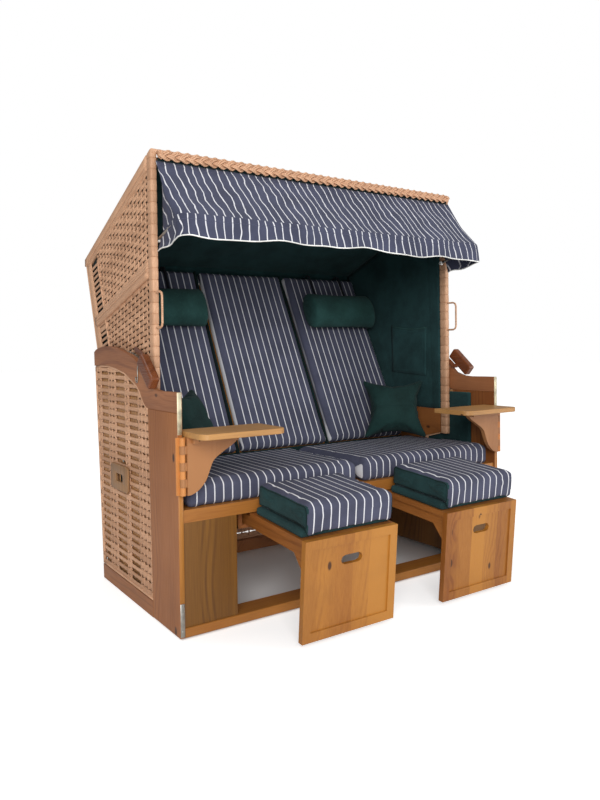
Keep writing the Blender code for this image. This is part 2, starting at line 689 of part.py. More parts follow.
def build_seat():
    """Build the two seat cushions and the two loose pillows."""
    outer = SEAT_CUSHION_HALF
    low = SEAT_BOARD_TOP + SEAT_GAP
    for name, side in SIDES.items():
        frame = axis_empty(f"seat_{name}", (0, 0, 0))
        flip = Matrix.Diagonal((side, 1, 1, 1))
        thing = padded(f"seat_cushion_{name}", (SEAT_SPLIT / 2, SEAT_CUSHION_FRONT, low),
                       (outer, SEAT_CUSHION_DEPTH, SEAT_CUSHION_TOP), STRIPE, frame, crown=0.06, draw=0.004,
                       shape=seat_shape, power=12.0)
        if side < 0:
            thing.data.transform(flip)
            thing.data.flip_normals()
    lean = math.radians(BACK_LEAN_DEG)
    out, foot = PILLOW_THICK / 2, PILLOW / 2
    z = SEAT_CUSHION_TOP + SEAT_GAP + foot * math.cos(lean) + out * PILLOW_SEAM_SHARE * math.sin(lean)
    up = (z - BACK_FOOT_Z - PILLOW_FORWARD * math.sin(lean)) / math.cos(lean)
    y = BACK_FOOT_Y + up * math.sin(lean) - PILLOW_FORWARD * math.cos(lean)
    for name, side in SIDES.items():
        turn = -side * math.radians(PILLOW_TURN_DEG)
        frame = axis_empty(f"pillow_frame_{name}", (side * PILLOW_CENTRE, y, z), (-lean, 0, turn))
        padded(f"pillow_{name}", (-foot, -out, -foot), (foot, out, foot), GREEN, frame, cuts=7, power=6.0,
               shape=pillow_shape)


def pillow_shape(u, v, w):
    """Swell a pillow in its middle, thin it to its seams and pull its sides in between the corners."""
    pinch_u = 1 - PILLOW_PINCH_SHARE * (1 - w * w)
    pinch_w = 1 - PILLOW_PINCH_SHARE * (1 - u * u)
    swell = math.sqrt(max(0.0, (1 - u ** 4) * (1 - w ** 4)))
    return Vector((u * pinch_u, v * (PILLOW_SEAM_SHARE + (1 - PILLOW_SEAM_SHARE) * swell), w * pinch_w))


def build_back(hood):
    """Build the back board, its three long cushions and the two neck rolls."""
    frame = axis_empty("back_rest", (0, BACK_FOOT_Y - PIVOT_Y, BACK_FOOT_Z - PIVOT_Z),
                       (math.radians(-BACK_LEAN_DEG), 0, 0), hood)
    half = HOOD_HALF - HOOD_WALL - HOOD_LINING - 2 * SEAT_GAP
    board_front = BACK_CUSHION + SEAT_GAP
    block("back_board", (-half, board_front, BACK_CUSHION_LIFT),
          (half, board_front + BACK_BOARD, BACK_BOARD_LENGTH), PINE, frame)
    width = 2 * half / len(BACK_PANELS)
    for number, name in enumerate(BACK_PANELS):
        left = -half + number * width + BACK_CUSHION_GAP / 2
        padded(f"back_cushion_{name}", (left, 0.0, BACK_CUSHION_LIFT),
               (left + width - BACK_CUSHION_GAP, BACK_CUSHION, BACK_LENGTH), STRIPE, frame, cuts=5,
               power=14.0, shape=panel_shape)
    for name, side in SIDES.items():
        roll, stretch = rolled(f"neck_roll_{name}", NECK_ROLL_LENGTH, NECK_ROLL_DEPTH / 2, NECK_ROLL_HEIGHT / 2,
                               frame)
        place = Matrix.Translation((side * NECK_ROLL_CENTRE, -NECK_ROLL_DEPTH / 2 - SEAT_GAP, NECK_ROLL_UP))
        roll.matrix_local = place @ Matrix.Rotation(math.pi / 2, 4, "Y") @ Matrix.Diagonal((stretch, 1, 1, 1))


def panel_shape(u, v, w):
    """Crown the front of a long back cushion across its width and keep its rear flat."""
    front = v if v > 0 else v * (1 - 0.10 * u ** 4 - 0.06 * w ** 8)
    return Vector((u, front, w))


def rolled(name, length, depth, height, parent):
    """Turn a neck roll about X: full in the middle and gathered at its ends."""
    mesh = bpy.data.meshes.new(name)
    form = bmesh.new()
    half = ROLL_SHARES + tuple((1 - x, r) for x, r in reversed(ROLL_SHARES[:-1]))
    verts = [form.verts.new((depth * radius, 0, (0.5 - share) * length)) for share, radius in half]
    for start, end in zip(verts, verts[1:]):
        form.edges.new((start, end))
    form.to_mesh(mesh)
    form.free()
    roll = add_mesh(name, mesh, GREEN, parent)
    turn = roll.modifiers.new("turn", "SCREW")
    turn.axis = "Z"
    turn.steps = TURNS_LARGE
    turn.render_steps = TURNS_LARGE
    turn.use_merge_vertices = True
    turn.merge_threshold = MERGE
    turn.use_smooth_shade = True
    return roll, height / depth


# Hood


def hood_lines():
    """Give the outer lines of the roof and of the hood's back, from the front round to the foot."""
    front, knee = (HOOD_FRONT, HOOD_TOP), (KNEE_Y, KNEE_Z)
    foot = (HOOD_BACK_END_Y, HOOD_BACK_END_Z)
    return (Vector(front), Vector(knee)), (Vector(knee), Vector(foot))


def back_line(offset):
    """Give the line of the leaning back rest, moved back by an offset from its front face."""
    lean = math.radians(BACK_LEAN_DEG)
    along = Vector((math.sin(lean), math.cos(lean)))
    across = Vector((math.cos(lean), -math.sin(lean)))
    start = Vector((BACK_FOOT_Y, BACK_FOOT_Z)) + across * offset
    return start, start + along


def build_hood():
    """Build the woven hood, its lining, posts, braid and grip loops, about the tilt pivot."""
    hood = axis_empty("hood_axis", (0, PIVOT_Y, PIVOT_Z))
    inner = axis_empty("hood_frame", (0, -PIVOT_Y, -PIVOT_Z), parent=hood)
    roof, back = hood_lines()
    plumb = (Vector((HOOD_FRONT, 0.0)), Vector((HOOD_FRONT, HOOD_TOP)))
    level = (Vector((0.0, HOOD_BACK_END_Z)), Vector((KNEE_Y, HOOD_BACK_END_Z)))
    under_roof = shift(roof, -HOOD_WALL)
    crest = rippled(roof[0], roof[1], HOOD_COURSE, WEAVE_RIPPLE)
    cross_plate("hood_roof", crest + [meet(under_roof, back), meet(under_roof, plumb)], HOOD_HALF, RATTAN, inner)
    ceiling = shift(under_roof, -SEAT_GAP)
    within = shift(back, -HOOD_WALL)
    wall = rippled(meet(ceiling, back), back[1], HOOD_COURSE, WEAVE_RIPPLE)
    cross_plate("hood_back", wall + [meet(within, level), meet(within, ceiling)], HOOD_HALF, RATTAN, inner)
    behind = shift(within, -SEAT_GAP)
    behind_board = BACK_CUSHION + BACK_BOARD + SEAT_GAP + RUN_GAP
    board_back = back_line(behind_board)
    hub_radius = behind_board + (PIVOT_Z - BACK_FOOT_Z) * math.sin(math.radians(BACK_LEAN_DEG))
    hub = arc((PIVOT_Y, PIVOT_Z), hub_radius, HUB_FROM_DEG, 360.0 - BACK_LEAN_DEG, HUB_STEPS)
    heel = Vector(hub[-1]) + (board_back[1] - board_back[0]) * HEEL_LENGTH
    start = HOOD_FRONT + POST_DEPTH / 2
    within_post = (Vector((start, 0.0)), Vector((start, HOOD_TOP)))
    outline = [(start, HOOD_SIDE_END_Z)] + hub + [tuple(heel), meet(behind, level), meet(behind, ceiling),
                                                  meet(ceiling, within_post)]
    for name, side in SIDES.items():
        build_hood_side(name, side, outline, inner, ceiling)
    build_hood_lining(ceiling, board_back, behind, inner)
    build_braid(inner)
    build_back(hood)
    return hood, inner


def build_hood_side(name, side, outline, parent, ceiling):
    """Build one hood side with its front post, its pivot pin and the grip loop on the post."""
    low, high = HOOD_HALF - HOOD_WALL, HOOD_HALF
    wall = woven_side(f"hood_side_{name}", outline, low, high - EDGE / 2, side, HOOD_COURSE, HOOD_COURSE_TILT_DEG,
                      parent)
    plumb = (Vector((HOOD_FRONT, 0.0)), Vector((HOOD_FRONT, HOOD_TOP)))
    rear = (Vector((HOOD_FRONT + POST_DEPTH, 0.0)), Vector((HOOD_FRONT + POST_DEPTH, HOOD_TOP)))
    post_outline = [(HOOD_FRONT, HOOD_SIDE_END_Z), (HOOD_FRONT + POST_DEPTH, HOOD_SIDE_END_Z),
                    meet(ceiling, rear), meet(ceiling, plumb)]
    post = side_plate(f"post_{name}", post_outline, HOOD_HALF - POST_WIDTH, HOOD_HALF, side, None, parent,
                      CUTTERS)
    combine(wall, bpy.data.objects[f"pivot_bore_{name}"], "DIFFERENCE")
    combine(wall, post, "UNION")
    x = side * (HOOD_HALF - POST_WIDTH / 2)
    start_y = HOOD_FRONT - SEAT_GAP
    tip = start_y - LOOP_REACH
    bend = LOOP_BEND
    path = [(x, start_y, LOOP_HIGH), (x, tip + bend, LOOP_HIGH), (x, tip + bend * 0.3, LOOP_HIGH - bend * 0.3),
            (x, tip, LOOP_HIGH - bend), (x, tip, LOOP_LOW + bend),
            (x, tip + bend * 0.3, LOOP_LOW + bend * 0.3), (x, tip + bend, LOOP_LOW), (x, start_y, LOOP_LOW)]
    add_mesh(f"hood_handle_{name}", rod_mesh(path, LOOP_ROD / 2), STEEL, parent)


def build_hood_lining(ceiling, board_back, behind, parent):
    """Build the cloth-covered lining: two side sheets and the ceiling in one folded shell."""
    top = shift(ceiling, -SEAT_GAP)
    front = HOOD_FRONT + POST_DEPTH + SEAT_GAP
    plumb = (Vector((front, 0.0)), Vector((front, HOOD_TOP)))
    level = (Vector((0.0, HOOD_LINING_END_Z)), Vector((KNEE_Y, HOOD_LINING_END_Z)))
    outline = [(front, HOOD_LINING_END_Z), meet(level, board_back), meet(board_back, behind), meet(behind, top),
               meet(top, plumb)]
    outer = HOOD_HALF - HOOD_WALL - SEAT_GAP
    shell = cross_plate("hood_lining", outline, outer, GREEN, parent)
    below = shift(top, -HOOD_LINING)
    far = (Vector((0.0, 0.0)), Vector((0.0, 1.0)))
    hollow = [(0.0, 0.0), (HOOD_TOP, 0.0), tuple(meet(below, (Vector((HOOD_TOP, 0.0)), Vector((HOOD_TOP, 1.0))))),
              meet(below, far)]
    cutter = cross_plate("lining_hollow", hollow, outer - HOOD_LINING, None, parent, CUTTERS)
    combine(shell, cutter, "DIFFERENCE")


def build_braid(parent):
    """Build the plaited edge along the front of the roof, with one swelling for each plait."""
    half = HOOD_HALF
    count = round(2 * half / BRAID_PITCH)
    y = HOOD_FRONT - SEAT_GAP - BRAID_RADIUS
    z = HOOD_TOP - BRAID_DROP
    points, widths = [], []
    for number in range(2 * count + 1):
        points.append((-half + number * half / count, y, z))
        widths.append(1.0 if number % 2 else BRAID_WAIST / BRAID_RADIUS)
    add_mesh("braid_trim", rod_mesh(points, BRAID_RADIUS, 1, widths), RATTAN, parent)


def stem_place(degrees):
    """Give Y and Z of the middle of a lever at an angle about the hood's pivot."""
    turn = math.radians(degrees)
    return PIVOT_Y + LEVER_RADIUS * math.cos(turn), PIVOT_Z + LEVER_RADIUS * math.sin(turn)


def build_catch(name, side, hood):
    """Build the toothed arc on the arm board and the sprung lever with its wooden grip."""
    centre = (PIVOT_Y, PIVOT_Z)
    teeth = []
    steps = round((RACK_TO_DEG - RACK_FROM_DEG) / RACK_TOOTH_DEG)
    for number in range(steps):
        start = RACK_FROM_DEG + number * RACK_TOOTH_DEG
        for share, drop in ((0.0, 0.0), (0.45, 0.0), (0.5, RACK_NOTCH), (0.95, RACK_NOTCH)):
            teeth += arc(centre, RACK_OUTER_RADIUS - drop, start + share * RACK_TOOTH_DEG, 0, 1)[:1]
    teeth += arc(centre, RACK_OUTER_RADIUS, RACK_TO_DEG, 0, 1)[:1]
    inner = arc(centre, RACK_INNER_RADIUS, RACK_TO_DEG, RACK_FROM_DEG, ARM_ARC_STEPS)
    outer = HALF - BOARD - SEAT_GAP
    side_plate(f"catch_rack_{name}", teeth + inner, outer - RACK, outer, side, STEEL)
    pivot = (PIVOT_Y + LEVER_RADIUS * math.cos(math.radians(LEVER_PIVOT_DEG)),
             PIVOT_Z + LEVER_RADIUS * math.sin(math.radians(LEVER_PIVOT_DEG)))
    axis = axis_empty(f"lever_axis_{name}", (0, pivot[0] - PIVOT_Y, pivot[1] - PIVOT_Z), parent=hood)
    frame = axis_empty(f"lever_frame_{name}", (0, -pivot[0], -pivot[1]), parent=axis)
    plate_in = HOOD_HALF + SEAT_GAP
    low, high = LEVER_RADIUS - LEVER_HEIGHT / 2, LEVER_RADIUS + LEVER_HEIGHT / 2
    bar = arc(centre, high, LEVER_PIVOT_DEG, GRIP_DEG, LEVER_STEPS)
    bar += arc(centre, low, GRIP_DEG, LEVER_PIVOT_DEG, LEVER_STEPS)
    bar += arc(pivot, LEVER_HEIGHT / 2, LEVER_PIVOT_DEG - 180.0, LEVER_PIVOT_DEG, 6)[1:-1]
    lever = side_plate(f"catch_grip_{name}", bar, plate_in, plate_in + LEVER, side, GRIP_WOOD, frame)
    pawl_deg = RACK_FROM_DEG + (PAWL_TOOTH + PAWL_SHARE) * RACK_TOOTH_DEG
    turn = PAWL_SHARE * RACK_TOOTH_DEG / 5
    pawl = arc(centre, RACK_OUTER_RADIUS + PAWL_LIFT, pawl_deg - turn, pawl_deg + turn, 1)
    pawl += arc(centre, LEVER_RADIUS, pawl_deg + turn, pawl_deg - turn, 1)
    catch = side_plate(f"pawl_{name}", pawl, plate_in + LEVER / 2, outer, side, None, frame, CUTTERS)
    combine(lever, catch, "UNION")
    out = plate_in + LEVER + GRIP_STAND
    middle = Vector((side * (out + GRIP_WIDTH / 2), PIVOT_Y + GRIP_RADIUS * math.cos(math.radians(GRIP_DEG)),
                     PIVOT_Z + GRIP_RADIUS * math.sin(math.radians(GRIP_DEG))))
    turn = Matrix.Rotation(math.radians(GRIP_DEG - 90.0), 4, "X")
    stem_end = plate_in + LEVER / 2
    stem_length = GRIP_STAND + LEVER / 2 + GRIP_BED
    stem = cylinder(f"grip_stem_{name}", (side * (stem_end + stem_length / 2), *stem_place(GRIP_DEG)), "X",
                    GRIP_STEM, stem_length, None, frame, CUTTERS)
    combine(lever, stem, "UNION")
    grip = block(f"grip_form_{name}", (-GRIP_WIDTH / 2, -GRIP_LENGTH / 2, -GRIP_THICK / 2),
                 (GRIP_WIDTH / 2, GRIP_LENGTH / 2, GRIP_THICK / 2), None, frame, CUTTERS, GRIP_EDGE)
    grip.modifiers["edges"].segments = GRIP_ROUND_STEPS
    grip.matrix_local = Matrix.Translation(middle) @ turn
    combine(lever, grip, "UNION")


# Awning


def cover_level(slope, hem):
    """Give front Y, front Z and side Z of the awning cloth: slope and hem both run from 0 to 1."""
    front_y = COVER_BACK_Y + (COVER_FRONT_Y - COVER_BACK_Y) * slope
    sag = COVER_SAG * math.sin(math.pi * slope)
    front_z = COVER_TOP_Z + (COVER_ROD_Z - COVER_TOP_Z) * slope + (COVER_HEM_Z - COVER_ROD_Z) * hem - sag
    side_z = COVER_TOP_Z + (COVER_SIDE_ROD_Z - COVER_TOP_Z) * slope + (COVER_SIDE_HEM_Z - COVER_SIDE_ROD_Z) * hem
    return front_y, front_z, side_z


def build_awning(hood):
    """Build the bow that holds the awning out and the hanging striped cloth over it."""
    axis = axis_empty("awning_axis", (0, BOW_PIVOT_Y - PIVOT_Y, BOW_PIVOT_Z - PIVOT_Z), parent=hood)
    frame = axis_empty("awning_frame", (0, -BOW_PIVOT_Y, -BOW_PIVOT_Z), parent=axis)
    radius = BOW_ROD / 2
    x = HOOD_HALF - POST_WIDTH - SEAT_GAP - radius
    y = COVER_FRONT_Y + COVER / 2 + SEAT_GAP + radius
    bend = 4 * BOW_ROD
    path = [(-x, BOW_PIVOT_Y, BOW_PIVOT_Z), (-x, y + bend, BOW_FRONT_Z)]
    path += [(-x + bend * (1 - math.cos(a)), y + bend * (1 - math.sin(a)), BOW_FRONT_Z)
             for a in (math.pi / 6, math.pi / 3)]
    path += [(-x + bend, y, BOW_FRONT_Z)]
    path += [(-u, v, w) for u, v, w in reversed(path)]
    add_mesh("awning_bow", rod_mesh(path, radius), STEEL, frame)
    form = bmesh.new()
    rows = []
    levels = [(n / COVER_SLOPE_STEPS, 0.0) for n in range(COVER_SLOPE_STEPS + 1)]
    levels += [(1.0, n / COVER_HEM_STEPS) for n in range(1, COVER_HEM_STEPS + 1)]
    for slope, hem in levels:
        front_y, front_z, side_z = cover_level(slope, hem)
        row = [(-COVER_HALF, COVER_BACK_Y + (front_y - COVER_BACK_Y) * n / COVER_SIDE_STEPS,
                side_z + (front_z - side_z) * n / COVER_SIDE_STEPS) for n in range(COVER_SIDE_STEPS)]
        for n in range(COVER_FRONT_STEPS + 1):
            share = n / COVER_FRONT_STEPS
            wave = COVER_SCALLOP * hem * math.sin(2 * math.pi * COVER_SCALLOPS * min(share, 1 - share))
            row.append((COVER_HALF * (2 * share - 1), front_y - abs(wave), front_z + wave / 2))
        row += [(-u, v, w) for u, v, w in reversed(row[:COVER_SIDE_STEPS])]
        rows.append(row)
    for n in range(COVER_SIDE_STEPS):
        for column in (n, -1 - n):
            x, y, z = rows[0][column]
            rows[0][column] = (x, y, z - 2 * COVER * (COVER_SIDE_STEPS - n) / COVER_SIDE_STEPS)
    columns, last = len(rows[0]) - 1, len(rows) - 1
    bmesh.ops.create_grid(form, x_segments=columns, y_segments=last, size=1.0)
    for vert in form.verts:
        vert.co = rows[round((1 - vert.co.y) / 2 * last)][round((1 + vert.co.x) / 2 * columns)]
    mesh = bpy.data.meshes.new("awning_cover")
    form.to_mesh(mesh)
    form.free()
    mesh.shade_smooth()
    cloth = add_mesh("awning_cover", mesh, STRIPE, frame)
    skin = cloth.modifiers.new("cloth", "SOLIDIFY")
    skin.thickness = COVER
    skin.offset = 0.0


# Footrests


def build_footrest(name, side):
    """Build one footrest and the wooden runner under the seat that it slides in."""
    centre = side * (FOOT_INNER + FOOT_WIDTH / 2)
    tilt = math.radians(FOOT_TILT_DEG)
    frame = axis_empty(f"footrest_axis_{name}", (centre, -FOOT_REACH, FOOT_TOP_Z), (tilt, 0, 0))
    half = FOOT_WIDTH / 2
    panel = block(f"footrest_front_{name}", (-half, 0.0, -FOOT_PANEL_HEIGHT), (half, FOOT_PANEL, 0.0), PINE,
                  frame)
    field = block(f"footrest_field_{name}", (FOOT_STILE - half, -OVERRUN, FOOT_STILE - FOOT_PANEL_HEIGHT),
                  (half - FOOT_STILE, FOOT_INSET, -FOOT_STILE), None, frame, CUTTERS)
    combine(panel, field, "DIFFERENCE")
    long, tall = FOOT_SLOT_LENGTH / 2, FOOT_SLOT_HEIGHT / 2
    ends = arc((long - tall, -FOOT_SLOT_DROP), tall, -90, 90, 4)
    ends += arc((tall - long, -FOOT_SLOT_DROP), tall, 90, 270, 4)
    slot_mesh = flat_mesh(ends, FOOT_PANEL * 4, Matrix.Rotation(math.pi / 2, 4, "X"))
    combine(panel, add_mesh(f"footrest_slot_{name}", slot_mesh, None, frame, collection=CUTTERS), "DIFFERENCE")
    start = FOOT_PANEL + SEAT_GAP
    board = block(f"footrest_frame_{name}", (-half, start, -FOOT_BOARD), (half, FOOT_BOARD_END, 0.0), PINE,
                  frame)
    low = -FOOT_BOARD - FOOT_RAIL_HEIGHT
    for number, mark in enumerate((-1, 1)):
        outer = half - FOOT_RAIL_INSET
        sides = sorted((mark * outer, mark * (outer - FOOT_RAIL)))
        profile = [(start, low - FOOT_GUSSET), (start + FOOT_GUSSET, low), (FOOT_RAIL_END, low),
                   (FOOT_RAIL_END, -FOOT_BOARD - SEAT_GAP), (FOOT_BOARD_END - OVERRUN, -FOOT_BOARD - SEAT_GAP),
                   (FOOT_BOARD_END - OVERRUN, -FOOT_BOARD / 2), (start, -FOOT_BOARD / 2)]
        matrix = Matrix.Translation((sum(sides) / 2, 0, 0)) @ STAND_UP
        rail = add_mesh(f"footrest_rail_{name}_{number}", flat_mesh(profile, FOOT_RAIL, matrix), None, frame,
                        collection=CUTTERS)
        combine(board, rail, "UNION")
    padded(f"footrest_cushion_{name}", (-half, FOOT_CUSHION_SETBACK, SEAT_GAP),
           (half, FOOT_CUSHION_SETBACK + FOOT_CUSHION_LENGTH, FOOT_CUSHION),
           STRIPE, frame, crown=0.05, draw=0.012, power=14.0)
    build_runner(name, centre, tilt, frame)


def build_runner(name, centre, tilt, frame):
    """Build the runner: two cheeks under the seat with ledges below the rails, joined at the back."""
    half = FOOT_WIDTH / 2
    under = SEAT_BOARD_TOP - BOARD - SEAT_GAP
    rail_low = -FOOT_BOARD - FOOT_RAIL_HEIGHT - RUN_GAP

    def height(y, drop):
        return FOOT_TOP_Z + drop / math.cos(tilt) + (y + FOOT_REACH) * math.tan(tilt)
    front = GUIDE_FRONT
    rail_foot = (FOOT_BOARD + FOOT_RAIL_HEIGHT) * math.sin(tilt)
    rear = (FOOT_RAIL_END + FOOT_TRAVEL + RUN_GAP) * math.cos(tilt) + rail_foot - FOOT_REACH + GUIDE_BAR
    bar_low = height(rear, -FOOT_BOARD - FOOT_RAIL_HEIGHT)
    runner = None
    for number, mark in enumerate((-1, 1)):
        inner = half + RUN_GAP
        middle = centre + mark * (inner + GUIDE / 2)
        profile = [(front, height(front, rail_low - GUIDE_LEDGE)), (rear, height(rear, rail_low - GUIDE_LEDGE)),
                   (rear, under), (front, under)]
        matrix = Matrix.Translation((middle, 0, 0)) @ STAND_UP
        mesh = flat_mesh(profile, GUIDE, matrix)
        if runner is None:
            runner = add_mesh(f"footrest_runner_{name}", mesh, SIDE_WOOD)
        else:
            combine(runner, add_mesh(f"runner_cheek_{name}", mesh, None, collection=CUTTERS), "UNION")
        ledge_profile = [(front, height(front, rail_low - GUIDE_LEDGE)),
                         (rear, height(rear, rail_low - GUIDE_LEDGE)), (rear, height(rear, rail_low)),
                         (front, height(front, rail_low))]
        ledge_width = FOOT_RAIL_INSET + FOOT_RAIL + GUIDE
        shelf = Matrix.Translation((centre + mark * (inner + GUIDE - ledge_width / 2 - OVERRUN / 2), 0, 0))
        ledge = flat_mesh(ledge_profile, ledge_width, shelf @ STAND_UP)
        combine(runner, add_mesh(f"runner_ledge_{name}_{number}", ledge, None, collection=CUTTERS), "UNION")
    span = half + RUN_GAP + OVERRUN
    bar = block(f"runner_bar_{name}", (centre - span, rear - GUIDE_BAR, bar_low), (centre + span, rear, under),
                None, collection=CUTTERS)
    combine(runner, bar, "UNION")


# Side tables


def build_table(name, side):
    """Build one side table: its finger hinge, steel pin, S-shaped console and rounded top."""
    axis = axis_empty(f"table_axis_{name}", (side * HINGE_X, HINGE_Y, 0))
    top = TABLE_TOP_Z - TABLE - SEAT_GAP
    low = top - HINGE_HEIGHT
    leaf_front = -SEAT_GAP - HINGE_LEAF
    leaf = block(f"hinge_leaf_{name}", (side * (HINGE_X) - HINGE_LEAF_WIDTH / 2, leaf_front, low),
                 (side * (HINGE_X) + HINGE_LEAF_WIDTH / 2, -SEAT_GAP, top), HINGE_WOOD)
    finger = HINGE_HEIGHT / HINGE_FINGERS
    reach = CONSOLE_REACH
    plate = [(side * (-CONSOLE_CLEAR - x * reach), top + z * HINGE_HEIGHT) for x, z in smooth(CONSOLE_SHARES, 3)]
    plate = [(-side * CONSOLE_CLEAR, low)] + list(reversed(plate)) + [(-side * CONSOLE_CLEAR, top)]
    stand = Matrix.Rotation(math.pi / 2, 4, "X")
    console = add_mesh(f"table_console_{name}", flat_mesh(plate, CONSOLE, stand), HINGE_WOOD, axis)
    batten_low = sorted((-side * (2 * CONSOLE_CLEAR), -side * (2 * CONSOLE_CLEAR + BATTEN_LENGTH)))
    batten = block(f"batten_{name}", (batten_low[0], -BATTEN_DEPTH / 2 - CONSOLE / 2, top - BATTEN),
                   (batten_low[1], 0.0, top), None, axis, CUTTERS)
    combine(console, batten, "UNION")
    for number in range(HINGE_FINGERS):
        middle = low + (number + 0.5) * finger
        length = finger - 2 * SEAT_GAP
        if number % 2 == 0:
            barrel = cylinder(f"leaf_barrel_{name}_{number}", (side * HINGE_X, HINGE_Y, middle), "Z",
                              HINGE_BARREL, length, None, collection=CUTTERS)
            web = block(f"leaf_web_{name}_{number}", (side * HINGE_X - HINGE_BARREL * 0.7, HINGE_Y, middle - length / 2),
                        (side * HINGE_X + HINGE_BARREL * 0.7, leaf_front + HINGE_LEAF / 2, middle + length / 2),
                        None, collection=CUTTERS)
            combine(leaf, barrel, "UNION")
            combine(leaf, web, "UNION")
        else:
            barrel = cylinder(f"console_barrel_{name}_{number}", (0, 0, middle), "Z", HINGE_BARREL, length,
                              None, axis, CUTTERS)
            sides = sorted((0.0, -side * (CONSOLE_CLEAR + OVERRUN)))
            web = block(f"console_web_{name}_{number}", (sides[0], -HINGE_BARREL * 0.7, middle - length / 2),
                        (sides[1], HINGE_BARREL * 0.7, middle + length / 2), None, axis, CUTTERS)
            combine(console, barrel, "UNION")
            combine(console, web, "UNION")
    bore_length = HINGE_HEIGHT + 2 * OVERRUN
    for thing, parent, place in ((leaf, ROOT, (side * HINGE_X, HINGE_Y, (low + top) / 2)),
                                 (console, axis, (0, 0, (low + top) / 2))):
        bore = cylinder(f"bore_{thing.name}", place, "Z", HINGE_BORE, bore_length, None, parent, CUTTERS)
        combine(thing, bore, "DIFFERENCE")
    cylinder(f"hinge_pin_{name}", (side * HINGE_X, HINGE_Y, (low + top) / 2), "Z", HINGE_PIN, HINGE_HEIGHT,
             STEEL)
    build_table_top(name, side, axis)


def build_table_top(name, side, axis):
    """Build the table top, with its two front corners rounded."""
    outer = side * (TABLE_OUTER - HINGE_X)
    inner = outer - side * TABLE_LENGTH
    back = TABLE_BACK_Y - HINGE_Y
    front = back - TABLE_DEPTH
    r = TABLE_CORNER
    low_x, high_x = min(outer, inner), max(outer, inner)
    outline = [(high_x, back), (low_x, back)]
    outline += arc((low_x + r, front + r), r, 180, 270, 5) + arc((high_x - r, front + r), r, 270, 360, 5)
    matrix = Matrix.Translation((0, 0, TABLE_TOP_Z - TABLE / 2))
    top = add_mesh(f"table_top_{name}", flat_mesh(outline, TABLE, matrix), PINE, axis)
    soften(top)


def main():
    """Build the whole chair and set its origin under the middle of its outer box."""
    build_basket()
    build_seat()
    hood, _ = build_hood()
    build_awning(hood)
    for name, side in SIDES.items():
        build_catch(name, side, hood)
        build_footrest(name, side)
        build_table(name, side)
    ROOT.location = (0, (FOOT_REACH - KNEE_Y) / 2, 0)


main()
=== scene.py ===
"""Looks of a hooded beach chair for two.

The woven basket and hood, the plaited edge, the striped cushions and awning, the green linings, the
footrests, the side tables and the small metal fittings are dressed over the fixed frame of the chair.
Places are in metres from the front plane of the side boards (Y), the middle of the seat (X) and the
ground (Z), and every mesh is moved to the frame as it is made.
"""

import json
import logging
import math
import random
from collections.abc import Callable, Sequence
from dataclasses import dataclass, field
from enum import Enum

import bmesh
import bpy
from mathutils import Matrix, Vector

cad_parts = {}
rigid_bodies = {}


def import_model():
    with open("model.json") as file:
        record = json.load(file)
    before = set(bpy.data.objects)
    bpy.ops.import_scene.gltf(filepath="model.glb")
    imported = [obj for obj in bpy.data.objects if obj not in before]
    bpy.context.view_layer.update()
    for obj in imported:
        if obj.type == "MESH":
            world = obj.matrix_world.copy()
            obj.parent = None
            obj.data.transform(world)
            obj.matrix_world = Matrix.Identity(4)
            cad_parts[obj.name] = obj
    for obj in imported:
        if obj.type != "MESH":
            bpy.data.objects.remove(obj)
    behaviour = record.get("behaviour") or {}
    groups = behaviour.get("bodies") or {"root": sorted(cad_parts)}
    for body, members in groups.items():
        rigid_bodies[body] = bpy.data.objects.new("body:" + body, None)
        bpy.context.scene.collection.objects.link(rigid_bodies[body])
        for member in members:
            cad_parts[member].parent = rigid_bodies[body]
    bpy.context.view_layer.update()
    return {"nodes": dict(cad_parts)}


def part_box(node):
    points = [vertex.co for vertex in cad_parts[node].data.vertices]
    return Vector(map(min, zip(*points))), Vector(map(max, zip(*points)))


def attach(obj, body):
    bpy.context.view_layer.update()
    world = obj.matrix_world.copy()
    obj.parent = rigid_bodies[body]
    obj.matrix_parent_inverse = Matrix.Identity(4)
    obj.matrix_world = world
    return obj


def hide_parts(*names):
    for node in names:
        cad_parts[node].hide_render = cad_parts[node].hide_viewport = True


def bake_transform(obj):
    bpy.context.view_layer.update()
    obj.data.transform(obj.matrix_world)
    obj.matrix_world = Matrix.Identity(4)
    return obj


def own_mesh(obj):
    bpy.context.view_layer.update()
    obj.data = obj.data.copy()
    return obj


for leftover in list(bpy.data.objects):
    bpy.data.objects.remove(leftover, do_unlink=True)
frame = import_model()
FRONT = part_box("front_beam")[0].y
LOG = logging.getLogger("beach_chair")

Point = tuple[float, float]
Colour = tuple[float, float, float]

SIDES = {"left": -1, "right": 1}
PIVOT = (0.500, 0.500)
ROOF_FRONT = (0.243, 1.600)
KNEE = (0.990, 1.305)
BACK_END = (0.761, 0.660)
ROOF_OUT = (0.3673, 0.9301)  # direction out of the roof, in Y and Z
BACK_OUT = (0.9424, -0.3346)  # direction out of the hood's back, in Y and Z
LEAN = math.radians(26.4)
BACK_FOOT = (0.500, 0.474)
STAKE_PITCH = 0.038
BOND = 0.076  # distance between two dips of the same edge of a woven course


def srgb(red: int, green: int, blue: int) -> Colour:
    """Turn a colour as seen, from 0 to 255, into linear values."""
    def channel(value: int) -> float:
        """Turn one channel linear."""
        share = value / 255
        return share / 12.92 if share <= 0.04045 else ((share + 0.055) / 1.055) ** 2.4
    return channel(red), channel(green), channel(blue)


def ease(value: float, low: float, high: float) -> float:
    """Rise smoothly from 0 at low to 1 at high."""
    share = min(1.0, max(0.0, (value - low) / (high - low)))
    return share * share * (3 - 2 * share)


# Finishes


